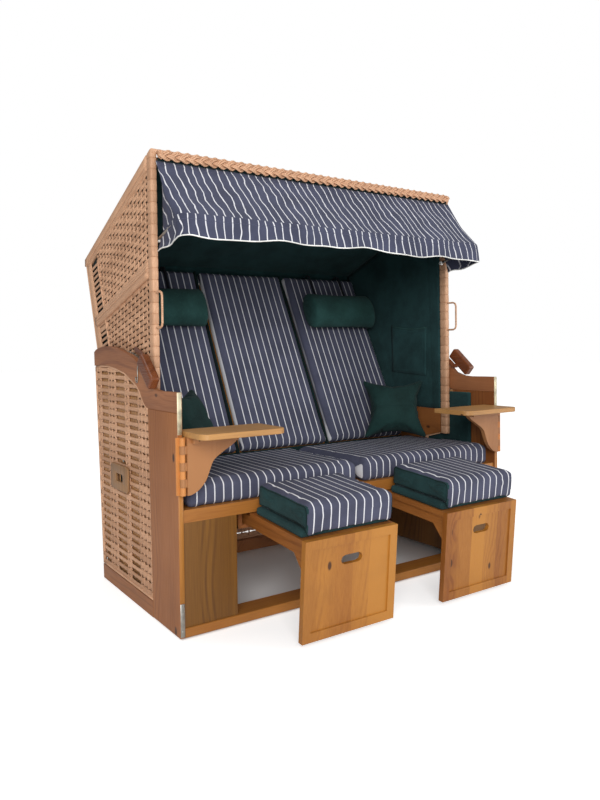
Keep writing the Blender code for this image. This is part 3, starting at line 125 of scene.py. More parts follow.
class NodeBench:
    """Adds and joins the nodes of one tree."""

    def __init__(self, tree: bpy.types.NodeTree) -> None:
        """Start work on a tree."""
        self.tree = tree

    def put(self, value, socket: bpy.types.NodeSocket) -> None:
        """Join another node's output to a socket, or give the socket a plain value."""
        if isinstance(value, bpy.types.NodeSocket):
            self.tree.links.new(value, socket)
        else:
            socket.default_value = value

    def add(self, kind: str, inputs: dict | None = None, **settings) -> bpy.types.Node:
        """Add a node.

        Args:
            kind: the node's type name.
            inputs: sockets by name or number, each a plain value or another node's output.
            settings: properties of the node itself.

        Returns:
            The new node.
        """
        node = self.tree.nodes.new(kind)
        for key, value in settings.items():
            setattr(node, key, value)
        for key, value in (inputs or {}).items():
            self.put(value, node.inputs[key])
        return node

    def work(self, operation: str, *values) -> bpy.types.NodeSocket:
        """Work out one step of arithmetic and return its result."""
        return self.add("ShaderNodeMath", dict(enumerate(values)), operation=operation).outputs[0]

    def plus(self, first, second) -> bpy.types.NodeSocket:
        """Add two values."""
        return self.work("ADD", first, second)

    def minus(self, first, second) -> bpy.types.NodeSocket:
        """Take the second value from the first."""
        return self.work("SUBTRACT", first, second)

    def times(self, first, second) -> bpy.types.NodeSocket:
        """Multiply two values."""
        return self.work("MULTIPLY", first, second)

    def repeat(self, value, pitch: float) -> bpy.types.NodeSocket:
        """Tell how far a value lies from the middle of its repeat, as a share of the pitch."""
        return self.work("ABSOLUTE", self.minus(self.work("FRACT", self.work("DIVIDE", value, pitch)), 0.5))

    def ramp(self, source: bpy.types.NodeSocket, low: float, high: float, start: float = 0.0,
             end: float = 1.0) -> bpy.types.NodeSocket:
        """Map a value from low..high to start..end, smoothly and held at both ends."""
        node = self.add("ShaderNodeMapRange", {0: source, 1: low, 2: high, 3: start, 4: end},
                        interpolation_type="SMOOTHSTEP")
        return node.outputs[0]

    def mix(self, share, first, second) -> bpy.types.NodeSocket:
        """Mix two colours by a share."""
        node = self.add("ShaderNodeMix", data_type="RGBA", blend_type="MIX")
        for number, value in ((0, share), (6, first), (7, second)):
            self.put((*value, 1.0) if isinstance(value, tuple) else value, node.inputs[number])
        return node.outputs[2]

    def noise(self, vector, scale, detail: float = 3.0, rough: float = 0.5) -> bpy.types.NodeSocket:
        """Give a noise value over the surface."""
        return self.add("ShaderNodeTexNoise", {"Vector": vector, "Scale": scale, "Detail": detail,
                                               "Roughness": rough}).outputs["Fac"]

    def stretch(self, vector, scale: Colour, turn: Colour = (0.0, 0.0, 0.0)) -> bpy.types.NodeSocket:
        """Scale and turn a place before it is used in a pattern."""
        return self.add("ShaderNodeMapping", {"Vector": vector, "Scale": scale, "Rotation": turn}).outputs[0]

    def finish(self, shader: bpy.types.Node, tint, rough, height, strength: float, distance: float) -> None:
        """Feed a shader its colour, its roughness and its fine relief.

        Args:
            shader: the material's Principled shader.
            tint: colour over the surface.
            rough: roughness over the surface.
            height: height of the fine relief.
            strength: strength of the relief, from 0 to 1.
            distance: how high the relief stands.
        """
        relief = self.add("ShaderNodeBump", {"Height": height, "Strength": strength, "Distance": distance})
        for label, value in (("Base Color", tint), ("Roughness", rough), ("Normal", relief.outputs[0])):
            self.put(value, shader.inputs[label])


def new_group(name: str, outputs: Sequence[str],
              **numbers: float) -> tuple[NodeBench, bpy.types.NodeOutputs, bpy.types.Node]:
    """Make an empty shader node group that takes a place.

    Args:
        name: name of the group.
        outputs: names of its outputs, which are all numbers.
        numbers: further inputs with their preset values.

    Returns:
        The bench that works on it, its input sockets, and its output node.
    """
    tree = bpy.data.node_groups.new(name, "ShaderNodeTree")
    tree.interface.new_socket("Place", in_out="INPUT", socket_type="NodeSocketVector")
    for label, preset in numbers.items():
        tree.interface.new_socket(label, in_out="INPUT", socket_type="NodeSocketFloat").default_value = preset
    for label in outputs:
        tree.interface.new_socket(label, in_out="OUTPUT", socket_type="NodeSocketFloat")
    bench = NodeBench(tree)
    return bench, bench.add("NodeGroupInput").outputs, bench.add("NodeGroupOutput")


def close_group(bench: NodeBench, out: bpy.types.Node,
                values: dict[str, bpy.types.NodeSocket]) -> bpy.types.NodeTree:
    """Feed the outputs of a group and give its tree."""
    for label, value in values.items():
        bench.put(value, out.inputs[label])
    return bench.tree


def timber_group() -> bpy.types.NodeTree:
    """Make the grain that every wooden finish uses: rings, fibres and knots along Z."""
    bench, given, out = new_group("timber_grain", ["Rings", "Fibres", "Knot"], Knots=1.0)
    spots = bench.add("ShaderNodeTexVoronoi", {"Vector": bench.stretch(given["Place"], (9.0, 9.0, 4.6)),
                                               "Scale": 1.0, "Randomness": 0.85}).outputs["Distance"]
    near = bench.times(bench.ramp(spots, 0.05, 0.42, 1.0, 0.0), given["Knots"])
    knot = bench.times(bench.ramp(spots, 0.045, 0.085, 1.0, 0.0), given["Knots"])
    split = bench.add("ShaderNodeSeparateXYZ", {0: given["Place"]}).outputs
    drift = bench.noise(bench.stretch(given["Place"], (3.0, 3.0, 1.3)), 1.0, 1.0)
    across = bench.plus(bench.plus(split[0], bench.times(split[1], 0.8)), bench.times(drift, 0.200))
    rings = bench.work("SINE", bench.plus(bench.times(across, 310.0), bench.times(near, 6.0)))
    strong = bench.ramp(bench.noise(bench.stretch(given["Place"], (16.0, 16.0, 0.8)), 1.0, 1.0), 0.35, 0.75)
    fibres = bench.noise(bench.stretch(given["Place"], (420.0, 420.0, 9.0)), 1.0, 2.0, 0.6)
    return close_group(bench, out, {"Rings": bench.times(bench.ramp(rings, -0.2, 1.0), strong),
                                    "Fibres": fibres, "Knot": knot})


def thread_group() -> bpy.types.NodeTree:
    """Make the fine thread and soft blotches that every cloth uses."""
    bench, given, out = new_group("cloth_thread", ["Thread", "Blotch", "Height"])
    warp, weft = (bench.add("ShaderNodeTexWave", {"Vector": given["Place"], "Scale": 170.0, "Distortion": 1.2,
                                                  "Detail": 1.0}, bands_direction=axis).outputs["Fac"]
                  for axis in "XZ")
    thread = bench.times(warp, weft)
    slub = bench.noise(bench.stretch(given["Place"], (900.0, 40.0, 40.0)), 1.0, 1.0)
    return close_group(bench, out, {"Thread": thread, "Blotch": bench.noise(given["Place"], 9.0, 4.0, 0.6),
                                    "Height": bench.plus(thread, bench.times(slub, 0.8))})


def soil_group() -> bpy.types.NodeTree:
    """Make the wear and soil that gathers in patches on every finish."""
    bench, given, out = new_group("wear_and_soil", ["Patch", "Speck"], Size=6.0)
    patch, speck = bench.noise(given["Place"], given["Size"], 5.0), bench.noise(given["Place"], 130.0)
    return close_group(bench, out, {"Patch": bench.ramp(patch, 0.42, 0.72), "Speck": bench.ramp(speck, 0.58, 0.72)})


GROUPS: dict[str, bpy.types.NodeTree] = {}


def group(bench: NodeBench, kind: Callable[[], bpy.types.NodeTree], inputs: dict) -> bpy.types.NodeOutputs:
    """Place a shared group in a material, making it the first time, and give its outputs."""
    if kind.__name__ not in GROUPS:
        GROUPS[kind.__name__] = kind()
    return bench.add("ShaderNodeGroup", inputs, node_tree=GROUPS[kind.__name__]).outputs


def start_material(name: str) -> tuple[bpy.types.Material, NodeBench, bpy.types.Node, bpy.types.NodeSocket]:
    """Make a node material and give its bench, its Principled shader and the place on the piece."""
    material = bpy.data.materials.new(name)
    material.use_nodes = True
    bench = NodeBench(material.node_tree)
    place = bench.add("ShaderNodeTexCoord").outputs["Object"]
    return material, bench, material.node_tree.nodes["Principled BSDF"], place


def preset(node: bpy.types.Node, values: dict) -> None:
    """Set sockets of a node to plain values."""
    for label, value in values.items():
        node.inputs[label].default_value = value


def toned(colour: Colour, share: float) -> Colour:
    """Make a colour darker or lighter."""
    return colour[0] * share, colour[1] * share, colour[2] * share


class Along(Enum):
    """Direction of the grain of a board, as the turn that lays it along Z."""

    X = (0.0, math.pi / 2, 0.0)
    Y = (math.pi / 2, 0.0, 0.0)
    Z = (0.0, 0.0, 0.0)


@dataclass(frozen=True)
class Timber:
    """Varnished softwood with rings, fibres, knots and worn patches."""

    name: str
    light: Colour
    dark: Colour
    along: Along = Along.Z
    knots: float = 1.0
    rough: float = 0.46
    contrast: float = 0.80
    planks: float = 0.0

    def build(self) -> bpy.types.Material:
        """Make the material."""
        material, bench, shader, place = start_material(self.name)
        turned = bench.stretch(place, (1.0, 1.0, 1.0), self.along.value)
        grain = group(bench, timber_group, {"Place": turned, "Knots": self.knots})
        soil = group(bench, soil_group, {"Place": place, "Size": 5.0})
        lines = bench.plus(bench.times(grain["Rings"], 0.42), bench.times(grain["Fibres"], 0.75))
        wide = bench.noise(bench.stretch(turned, (7.0, 7.0, 0.5)), 1.0, 1.0)
        share = bench.plus(bench.times(lines, self.contrast), bench.ramp(wide, 0.35, 0.65, -0.15, 0.20))
        if self.planks:
            split = bench.add("ShaderNodeSeparateXYZ", {0: turned})
            plank = bench.work("FLOOR", bench.work("DIVIDE", bench.plus(split.outputs[0], 0.021), self.planks))
            tone = bench.add("ShaderNodeTexWhiteNoise", {"W": plank}, noise_dimensions="1D").outputs["Value"]
            share = bench.plus(share, bench.times(bench.minus(tone, 0.5), 0.85))
        tint = bench.mix(share, self.light, self.dark)
        tint = bench.mix(bench.times(soil["Patch"], 0.22), tint, toned(self.dark, 0.55))
        tint = bench.mix(grain["Knot"], tint, toned(self.dark, 0.30))
        rough = bench.ramp(grain["Fibres"], 0.2, 0.8, self.rough - 0.06, self.rough + 0.10)
        height = bench.plus(bench.times(grain["Rings"], 0.25), grain["Fibres"])
        bench.finish(shader, tint, rough, height, 0.35, 0.0006)
        preset(shader, {"Coat Weight": 0.12, "Coat Roughness": 0.35})
        return material


class StripeSource(Enum):
    """What the stripes of a cloth are measured along."""

    ACROSS = "the chair's width"
    UNROLLED = "the cloth as it was cut"


class Cloth:
    """What every woven cloth shares: its blotched threads and its faint sheen."""

    def woven(self, bench: NodeBench, place: bpy.types.NodeSocket, colour: Colour, low: float,
              high: float) -> tuple[bpy.types.NodeOutputs, bpy.types.NodeSocket]:
        """Lay the thread and give its outputs and the cloth's colour, blotched from low to high."""
        thread = group(bench, thread_group, {"Place": place})
        tint = bench.mix(bench.ramp(thread["Blotch"], 0.3, 0.7), toned(colour, low), toned(colour, high))
        return thread, bench.mix(bench.times(thread["Thread"], 0.35), tint, toned(colour, 1.9))

    def soften(self, bench: NodeBench, shader: bpy.types.Node, tint, rough, height) -> None:
        """Feed the shader and set the faint sheen of cloth."""
        bench.finish(shader, tint, rough, height, 0.4, 0.0005)
        preset(shader, {"Specular IOR Level": 0.15, "Sheen Weight": 0.03, "Sheen Roughness": 0.6})


@dataclass(frozen=True)
class StripedCloth(Cloth):
    """Dark woven cloth with thin pale stripes, and stitched seams where it is cut to shape."""

    name: str
    source: StripeSource = StripeSource.ACROSS
    ground: Colour = srgb(72, 74, 92)
    stripe: Colour = srgb(222, 222, 226)
    pitch: float = 0.033
    width: float = 0.0042
    waver: float = 0.0010
    slip: float = 0.0
    seams: tuple[float, ...] = ()

    def build(self) -> bpy.types.Material:
        """Make the material."""
        material, bench, shader, place = start_material(self.name)
        measure = place
        if self.source is StripeSource.UNROLLED:
            measure = bench.add("ShaderNodeUVMap", uv_map="unrolled").outputs[0]
        split = bench.add("ShaderNodeSeparateXYZ", {0: measure}).outputs
        waver = bench.times(bench.minus(bench.noise(measure, 9.0, 2.0), 0.5), self.waver)
        across = bench.plus(split[0], waver)
        if self.slip:
            beyond = bench.work("GREATER_THAN", split[1], self.seams[1])
            across = bench.plus(across, bench.times(beyond, self.slip))
        half = self.width / self.pitch / 2
        line = bench.ramp(bench.repeat(across, self.pitch), half * 0.75, half * 1.25, 1.0, 0.0)
        thread, ground = self.woven(bench, place, self.ground, 0.78, 1.16)
        pale = bench.mix(bench.times(thread["Thread"], 0.3), self.stripe, toned(self.stripe, 0.6))
        tint, height = bench.mix(line, ground, pale), thread["Height"]
        stitch = bench.ramp(bench.repeat(split[0], 0.006), 0.28, 0.34, 1.0, 0.0) if self.seams else None
        for level in self.seams:
            gap = bench.work("ABSOLUTE", bench.minus(split[1], level))
            seam = bench.ramp(gap, 0.0008, 0.0022, 1.0, 0.0)
            # The crease of each seam is darkened: painted shade; the lighter stitches beside it are real thread.
            tint = bench.mix(bench.times(seam, 0.45), tint, toned(self.ground, 0.45))
            tint = bench.mix(bench.times(bench.ramp(gap, 0.0003, 0.0009, 1.0, 0.0), bench.times(stitch, 0.7)), tint,
                             toned(self.ground, 2.6))
            height = bench.minus(height, bench.times(seam, 3.0))
        self.soften(bench, shader, tint, bench.ramp(thread["Blotch"], 0.3, 0.7, 0.82, 0.95), height)
        return material


@dataclass(frozen=True)
class PlainCloth(Cloth):
    """Plain woven cloth with thread, soft blotches and a little sheen."""

    name: str
    colour: Colour
    rough: float = 0.9

    def build(self) -> bpy.types.Material:
        """Make the material."""
        material, bench, shader, place = start_material(self.name)
        soil = group(bench, soil_group, {"Place": place, "Size": 4.0})
        thread, tint = self.woven(bench, place, self.colour, 0.72, 1.25)
        tint = bench.mix(bench.times(soil["Speck"], 0.25), tint, toned(self.colour, 2.2))
        self.soften(bench, shader, tint, bench.ramp(soil["Patch"], 0.0, 1.0, self.rough, self.rough - 0.12),
                    thread["Height"])
        return material


@dataclass(frozen=True)
class Cane:
    """Woven cane: its strands vary in tone and carry fine grooves along their length."""

    name: str
    colour: Colour = srgb(226, 179, 143)
    shade: Colour = srgb(152, 106, 74)
    # deep: painted shade on strands given a low tone, and random dark blotches on unstranded cane.
    deep: Colour = srgb(96, 66, 44)
    stranded: bool = True

    def build(self) -> bpy.types.Material:
        """Make the material."""
        material, bench, shader, place = start_material(self.name)
        soil = group(bench, soil_group, {"Place": place, "Size": 7.0})
        if self.stranded:
            lay = bench.add("ShaderNodeUVMap", uv_map="lay").outputs[0]
            groove = bench.noise(bench.stretch(lay, (14.0, 1100.0, 1.0)), 1.0, 2.0)
            tone = bench.add("ShaderNodeAttribute", attribute_name="tone").outputs["Fac"]
        else:
            groove = bench.noise(bench.stretch(place, (90.0, 90.0, 420.0)), 1.0, 2.0)
            tone = bench.noise(place, 40.0, 1.0)
        tint = bench.mix(bench.ramp(groove, 0.25, 0.75, 0.0, 0.55), self.colour, self.shade)
        tint = bench.mix(bench.ramp(tone, 0.5, 1.0, 0.0, 0.45), tint, self.shade)
        # A tone under 0.45 mixes in the deep colour: painted shade on stranded cane, random blotches on the wrapping.
        tint = bench.mix(bench.ramp(tone, 0.0, 0.45, 0.95, 0.0), tint, self.deep)
        tint = bench.mix(bench.times(soil["Patch"], 0.20), tint, self.shade)
        bench.finish(shader, tint, bench.ramp(groove, 0.2, 0.8, 0.48, 0.66), groove, 0.5, 0.0006)
        return material


@dataclass(frozen=True)
class Metal:
    """Zinc-plated steel with brushed streaks and dull patches."""

    name: str
    colour: Colour = srgb(190, 188, 180)
    rough: float = 0.34

    def build(self) -> bpy.types.Material:
        """Make the material."""
        material, bench, shader, place = start_material(self.name)
        soil = group(bench, soil_group, {"Place": place, "Size": 30.0})
        streak = bench.noise(bench.stretch(place, (60.0, 60.0, 900.0)), 1.0, 2.0)
        tint = bench.mix(soil["Patch"], self.colour, toned(self.colour, 0.62))
        bench.finish(shader, tint, bench.ramp(streak, 0.2, 0.8, self.rough, self.rough + 0.2), streak, 0.2, 0.0003)
        preset(shader, {"Metallic": 1.0})
        return material


CANE = Cane("cane_strands")
CANE_WRAP = Cane("cane_wrapping", stranded=False)
SIDE_TIMBER = Timber("brown_pine_upright", srgb(174, 109, 54), srgb(122, 68, 29), planks=0.11)
SIDE_RAIL = Timber("brown_pine_level", srgb(162, 101, 51), srgb(114, 64, 28), Along.Y)
ARM_TIMBER = Timber("dark_pine_arm", srgb(176, 116, 74), srgb(112, 63, 37), Along.Y, 0.8)
HONEY_UPRIGHT = Timber("honey_pine_upright", srgb(182, 121, 44), srgb(132, 73, 19), planks=0.068)
HONEY_ACROSS = Timber("honey_pine_across", srgb(184, 122, 52), srgb(134, 76, 24), Along.X)
HONEY_DEEP = Timber("honey_pine_level", srgb(168, 105, 46), srgb(112, 62, 23), Along.Y)
# Paler than the other pine: partly its own colour, partly a painted highlight of the light on the glossy tops.
TABLE_TIMBER = Timber("table_pine_and_painted_highlight", srgb(196, 145, 84), srgb(146, 100, 54), Along.X)
OLIVE_UPRIGHT = Timber("olive_pine_upright", srgb(142, 95, 31), srgb(90, 54, 14), planks=0.09)
OLIVE_PLATE = Timber("olive_plate", srgb(166, 124, 82), srgb(116, 80, 48), Along.Z, 0.2)
HINGE_TIMBER = Timber("orange_hinge_board", srgb(168, 114, 68), srgb(134, 82, 42), Along.Z, 0.15, contrast=0.3)
LEAF_TIMBER = Timber("orange_hinge_leaf", srgb(206, 135, 69), srgb(162, 91, 39), Along.Z, 0.0, contrast=0.3)
GRIP_TIMBER = Timber("varnished_grip", srgb(134, 76, 42), srgb(72, 32, 16), Along.Y, 0.0, 0.26)
STRIPES = StripedCloth("striped_cushion_cloth")
# The ground is a little darker than the cushions' same cloth: painted shade on the awning's well-lit slope.
AWNING_STRIPES = StripedCloth("striped_awning_cloth", StripeSource.UNROLLED, srgb(67, 70, 89), waver=0.0420,
                              slip=0.0120, seams=(0.022, 0.284, 0.303))
LATHS = Timber("tan_laths", srgb(196, 146, 96), srgb(150, 104, 62), Along.Z, 0.0)
GREEN = PlainCloth("green_cloth", srgb(38, 70, 67))
GREEN_DARK = PlainCloth("green_lining_cloth", srgb(31, 58, 59))
# The same green cloth, painted darker: painted shade, since the pillows face the key lamp.
PILLOW_CLOTH = PlainCloth("green_pillow_cloth_and_painted_shade", srgb(22, 46, 44))
# Dark green cloth on the plait facing and footrest piping, and painted shade where it fills the gap behind the seat,
# the gaps between the back cushions and the board behind the hood's side weave.
GREEN_BLACK = PlainCloth("dark_green_cloth_and_painted_shade", srgb(14, 36, 36))
STRAP = PlainCloth("strap_webbing", srgb(24, 26, 34))
PIPING = PlainCloth("white_piping", srgb(232, 232, 228), 0.8)
STEEL = Metal("zinc_steel")
DARK_STEEL = Metal("dark_screws", srgb(70, 62, 54), 0.45)
PALE_STEEL = Metal("pale_edge_plate", srgb(222, 214, 186), 0.5)


# Workshop


class Workshop:
    """Keeps the finished materials and fits each piece to the chair."""

    def __init__(self) -> None:
        """Start with no material made and no piece fitted."""
        self.made: dict[str, bpy.types.Material] = {}
        self.count = 0

    def material(self, finish) -> bpy.types.Material:
        """Give the material of a finish, making it the first time."""
        if finish.name not in self.made:
            self.made[finish.name] = finish.build()
        return self.made[finish.name]

    def dress(self, node: str, finish) -> None:
        """Give a node of the frame a better material."""
        thing = frame["nodes"][node]
        thing.data.materials.clear()
        thing.data.materials.append(self.material(finish))

    def fit(self, piece: bpy.types.Object, finish, body: str, slot: str,
            replaces: Sequence[str] = ()) -> bpy.types.Object:
        """Finish a new piece and make it ride on a body.

        Args:
            piece: the finished mesh object.
            finish: its finish, or None where the piece already has its materials.
            body: the body that it moves with.
            slot: not used.
            replaces: nodes of the frame that it stands for.

        Returns:
            The same piece.
        """
        if finish is not None:
            piece.data.materials.clear()
            piece.data.materials.append(self.material(finish))
        if body:
            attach(piece, body)
        if replaces:
            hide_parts(*replaces)
        self.count += 1
        LOG.info("%s: %d faces on %s", piece.name, len(piece.data.polygons), body or "two bodies")
        return piece


def mesh_object(name: str, points: Sequence[Sequence[float]], faces: Sequence[Sequence[int]],
                smooth: bool = True) -> bpy.types.Object:
    """Make an object from points in the chair's own places, with its faces turned outwards."""
    mesh = bpy.data.meshes.new(name)
    mesh.from_pydata([(x, y + FRONT, z) for x, y, z in points], [], faces)
    form = bmesh.new()
    form.from_mesh(mesh)
    bmesh.ops.recalc_face_normals(form, faces=form.faces)
    form.to_mesh(mesh)
    form.free()
    if smooth:
        mesh.shade_smooth()
    thing = bpy.data.objects.new(name, mesh)
    bpy.context.scene.collection.objects.link(thing)
    return thing


def cut_board(name: str, ring: Sequence[Point], inner: float, outer: float, side: int) -> bpy.types.Object:
    """Cut a flat upright board along an outline in Y and Z, between two distances from the middle."""
    count = len(ring)
    points = [(side * x, y, z) for x in (inner, outer) for y, z in ring]
    faces = [tuple(range(count)), tuple(range(2 * count - 1, count - 1, -1))]
    faces += [(n, (n + 1) % count, count + (n + 1) % count, count + n) for n in range(count)]
    return mesh_object(name, points, faces, smooth=False)


def sheet_faces(rows: int, columns: int) -> list[tuple[int, ...]]:
    """Give the faces of a sheet that has two layers of points and is closed round its rim."""
    wide, count, faces = columns + 1, (rows + 1) * (columns + 1), []
    for row in range(rows):
        for column in range(columns):
            a = row * wide + column
            faces.append((a, a + 1, a + wide + 1, a + wide))
            faces.append((count + a, count + a + wide, count + a + wide + 1, count + a + 1))
    rim = [*range(wide), *(row * wide + columns for row in range(1, rows + 1)),
           *(rows * wide + column for column in range(columns - 1, -1, -1)),
           *(row * wide for row in range(rows - 1, 0, -1))]
    return faces + [(a, b, count + b, count + a) for a, b in zip(rim, [*rim[1:], rim[0]])]


def cloth_waves(chance: random.Random, low: float, high: float, count: int) -> Callable[[float, float], float]:
    """Draw a few soft waves and give their mean height at a share across and up."""
    waves = [(chance.uniform(low, high), chance.uniform(low, high), chance.uniform(0, 6)) for _ in range(count)]
    return lambda u, v: sum(math.sin(a * u + b * v + c) for a, b, c in waves) / count


def choose(thing: bpy.types.Object) -> None:
    """Select one object alone and make it active."""
    bpy.ops.object.select_all(action="DESELECT")
    thing.select_set(True)
    bpy.context.view_layer.objects.active = thing


def apply_modifier(thing: bpy.types.Object, kind: str, **settings) -> None:
    """Add a modifier with its settings and apply it."""
    step = thing.modifiers.new(kind.lower(), kind)
    for key, value in settings.items():
        setattr(step, key, value)
    choose(thing)
    bpy.ops.object.modifier_apply(modifier=step.name)


def shade(thing: bpy.types.Object) -> bpy.types.Object:
    """Shade an object smoothly where its faces meet at less than 50 degrees."""
    choose(thing)
    thing.data.shade_smooth()
    bpy.ops.object.shade_smooth_by_angle(angle=math.radians(50))
    return thing


def cube(name: str, centre: Sequence[float], size: Sequence[float]) -> bpy.types.Object:
    """Make a plain block round a centre."""
    bpy.ops.object.select_all(action="DESELECT")
    bpy.ops.mesh.primitive_cube_add(size=1.0, location=centre)
    thing = bpy.context.active_object
    thing.name = thing.data.name = name
    thing.scale = size
    bpy.ops.object.transform_apply(location=True, rotation=True, scale=True)
    return thing


def block(name: str, low: Sequence[float], high: Sequence[float], edge: float = 0.001,
          segments: int = 2) -> bpy.types.Object:
    """Model a bar between two corners from a cube with rounded edges."""
    x, y, z = ((a + b) / 2 for a, b in zip(low, high))
    thing = cube(name, (x, y + FRONT, z), [abs(b - a) for a, b in zip(low, high)])
    apply_modifier(thing, "BEVEL", width=edge, segments=segments, limit_method="NONE")
    return shade(thing)


def bar(name: str, place: Sequence[float], axis: str, radius: float, length: float) -> bpy.types.Object:
    """Model a round bar or screw head from a cylinder with softened ends."""
    bpy.ops.object.select_all(action="DESELECT")
    turns = {"X": (0.0, math.pi / 2, 0.0), "Y": (math.pi / 2, 0.0, 0.0), "Z": (0.0, 0.0, 0.0)}
    bpy.ops.mesh.primitive_cylinder_add(vertices=16, radius=radius, depth=length,
                                        location=(place[0], place[1] + FRONT, place[2]), rotation=turns[axis])
    thing = bpy.context.active_object
    thing.name = thing.data.name = name
    bpy.ops.object.transform_apply(location=True, rotation=True, scale=True)
    apply_modifier(thing, "BEVEL", width=0.0008, segments=2, limit_method="ANGLE", angle_limit=math.radians(50))
    return shade(thing)


def join(name: str, things: Sequence[bpy.types.Object]) -> bpy.types.Object:
    """Join several parts that ride together into one piece."""
    bpy.ops.object.select_all(action="DESELECT")
    for thing in things:
        thing.select_set(True)
    bpy.context.view_layer.objects.active = things[0]
    if len(things) > 1:
        bpy.ops.object.join()
    things[0].name = things[0].data.name = name
    return things[0]


def rod(name: str, path: Sequence[Sequence[float]], radius: float, sides: int = 10) -> bpy.types.Object:
    """Make a round rod with closed ends along a path."""
    strand = StrandMesh(sides=sides)
    strand.add_round([Vector(point) for point in path], radius, 0.6)
    return strand.to_object(name)


# Strands


@dataclass
class StrandMesh:
    """Collects strands in one mesh, with a tone for each and its lay for the grooves."""

    shoulder: float = 0.62
    sides: int = 10
    points: list[Vector] = field(default_factory=list)
    faces: list[tuple[int, ...]] = field(default_factory=list)
    tones: list[float] = field(default_factory=list)
    lays: list[Point] = field(default_factory=list)

    def add(self, line: Sequence[Vector], across: Vector | list[Vector], out: Vector, lows: Sequence[float],
            highs: Sequence[float], thick: float, tone: float) -> None:
        """Add one flat strand with closed ends.

        Args:
            line: points along its middle.
            across: direction of its width, or one direction for each point.
            out: direction of its thickness.
            lows: how far it reaches below the line at each point, as negative numbers.
            highs: how far it reaches above the line at each point.
            thick: half its thickness.
            tone: brightness from 0, dark with painted shade, through 0.5 to 1, tanned.
        """
        run = 0.0
        rings = []
        for number, centre in enumerate(line):
            run += (centre - line[number - 1]).length if number else 0.0
            low, high = lows[number], highs[number]
            wide = across[number] if isinstance(across, list) else across
            ring = ((low, 0.0), (low * self.shoulder, 1.0), (high * self.shoulder, 1.0), (high, 0.0),
                    (high * self.shoulder, -1.0), (low * self.shoulder, -1.0))
            rings.append([(centre + wide * a + out * (thick * t), (run, a + t * thick)) for a, t in ring])
        self.close(rings, tone)

    def add_flat(self, line: Sequence[Vector], across: Vector, out: Vector, half: float, thick: float,
                 tone: float) -> None:
        """Add a flat strand whose half width is the same all along."""
        self.add(line, across, out, [-half] * len(line), [half] * len(line), thick, tone)

    def add_round(self, line: Sequence[Vector], radius: float, tone: float,
                  widths: Sequence[float] | None = None) -> None:
        """Add one round strand with closed ends along a path that may bend any way."""
        rings, run = [], 0.0
        lift = Vector((0.0, 0.0, 1.0))
        for number, centre in enumerate(line):
            run += (centre - line[number - 1]).length if number else 0.0
            ahead = line[min(number + 1, len(line) - 1)] - line[max(number - 1, 0)]
            ahead.normalize()
            side = ahead.cross(lift)
            if side.length < 0.2:
                side = ahead.cross(Vector((1.0, 0.0, 0.0)))
            side.normalize()
            lift = side.cross(ahead).normalized()
            size = radius * (widths[number] if widths else 1.0)
            ring = []
            for step in range(self.sides):
                angle = 2 * math.pi * step / self.sides
                offset = side * (math.cos(angle) * size) + lift * (math.sin(angle) * size)
                ring.append((centre + offset, (run, angle * radius)))
            rings.append(ring)
        self.close(rings, tone)

    def close(self, rings: Sequence[Sequence[tuple[Vector, Point]]], tone: float) -> None:
        """Join rings of points to a tube and close both ends."""
        base, size = len(self.points), len(rings[0])
        for ring in rings:
            for place, lay in ring:
                self.points.append(place)
                self.tones.append(tone)
                self.lays.append(lay)
        for number in range(len(rings) - 1):
            start = base + number * size
            for step in range(size):
                after = (step + 1) % size
                self.faces.append((start + step, start + after, start + size + after, start + size + step))
        self.faces.append(tuple(base + step for step in range(size)))
        last = base + (len(rings) - 1) * size
        self.faces.append(tuple(last + step for step in reversed(range(size))))

    def to_object(self, name: str) -> bpy.types.Object:
        """Make one smooth object of all strands."""
        thing = mesh_object(name, self.points, self.faces)
        mesh = thing.data
        tone = mesh.attributes.new("tone", "FLOAT", "POINT")
        tone.data.foreach_set("value", self.tones)
        lay = mesh.uv_layers.new(name="lay")
        flat = []
        for loop in mesh.loops:
            flat.extend(self.lays[loop.vertex_index])
        lay.data.foreach_set("uv", flat)
        return thing


def within(outline: Sequence[Point], a: float, b: float) -> bool:
    """Tell whether a point lies inside a closed outline."""
    inside = False
    for (a0, b0), (a1, b1) in zip(outline, [*outline[1:], outline[0]]):
        if (b0 > b) != (b1 > b) and a < (a1 - a0) * (b - b0) / (b1 - b0) + a0:
            inside = not inside
    return inside


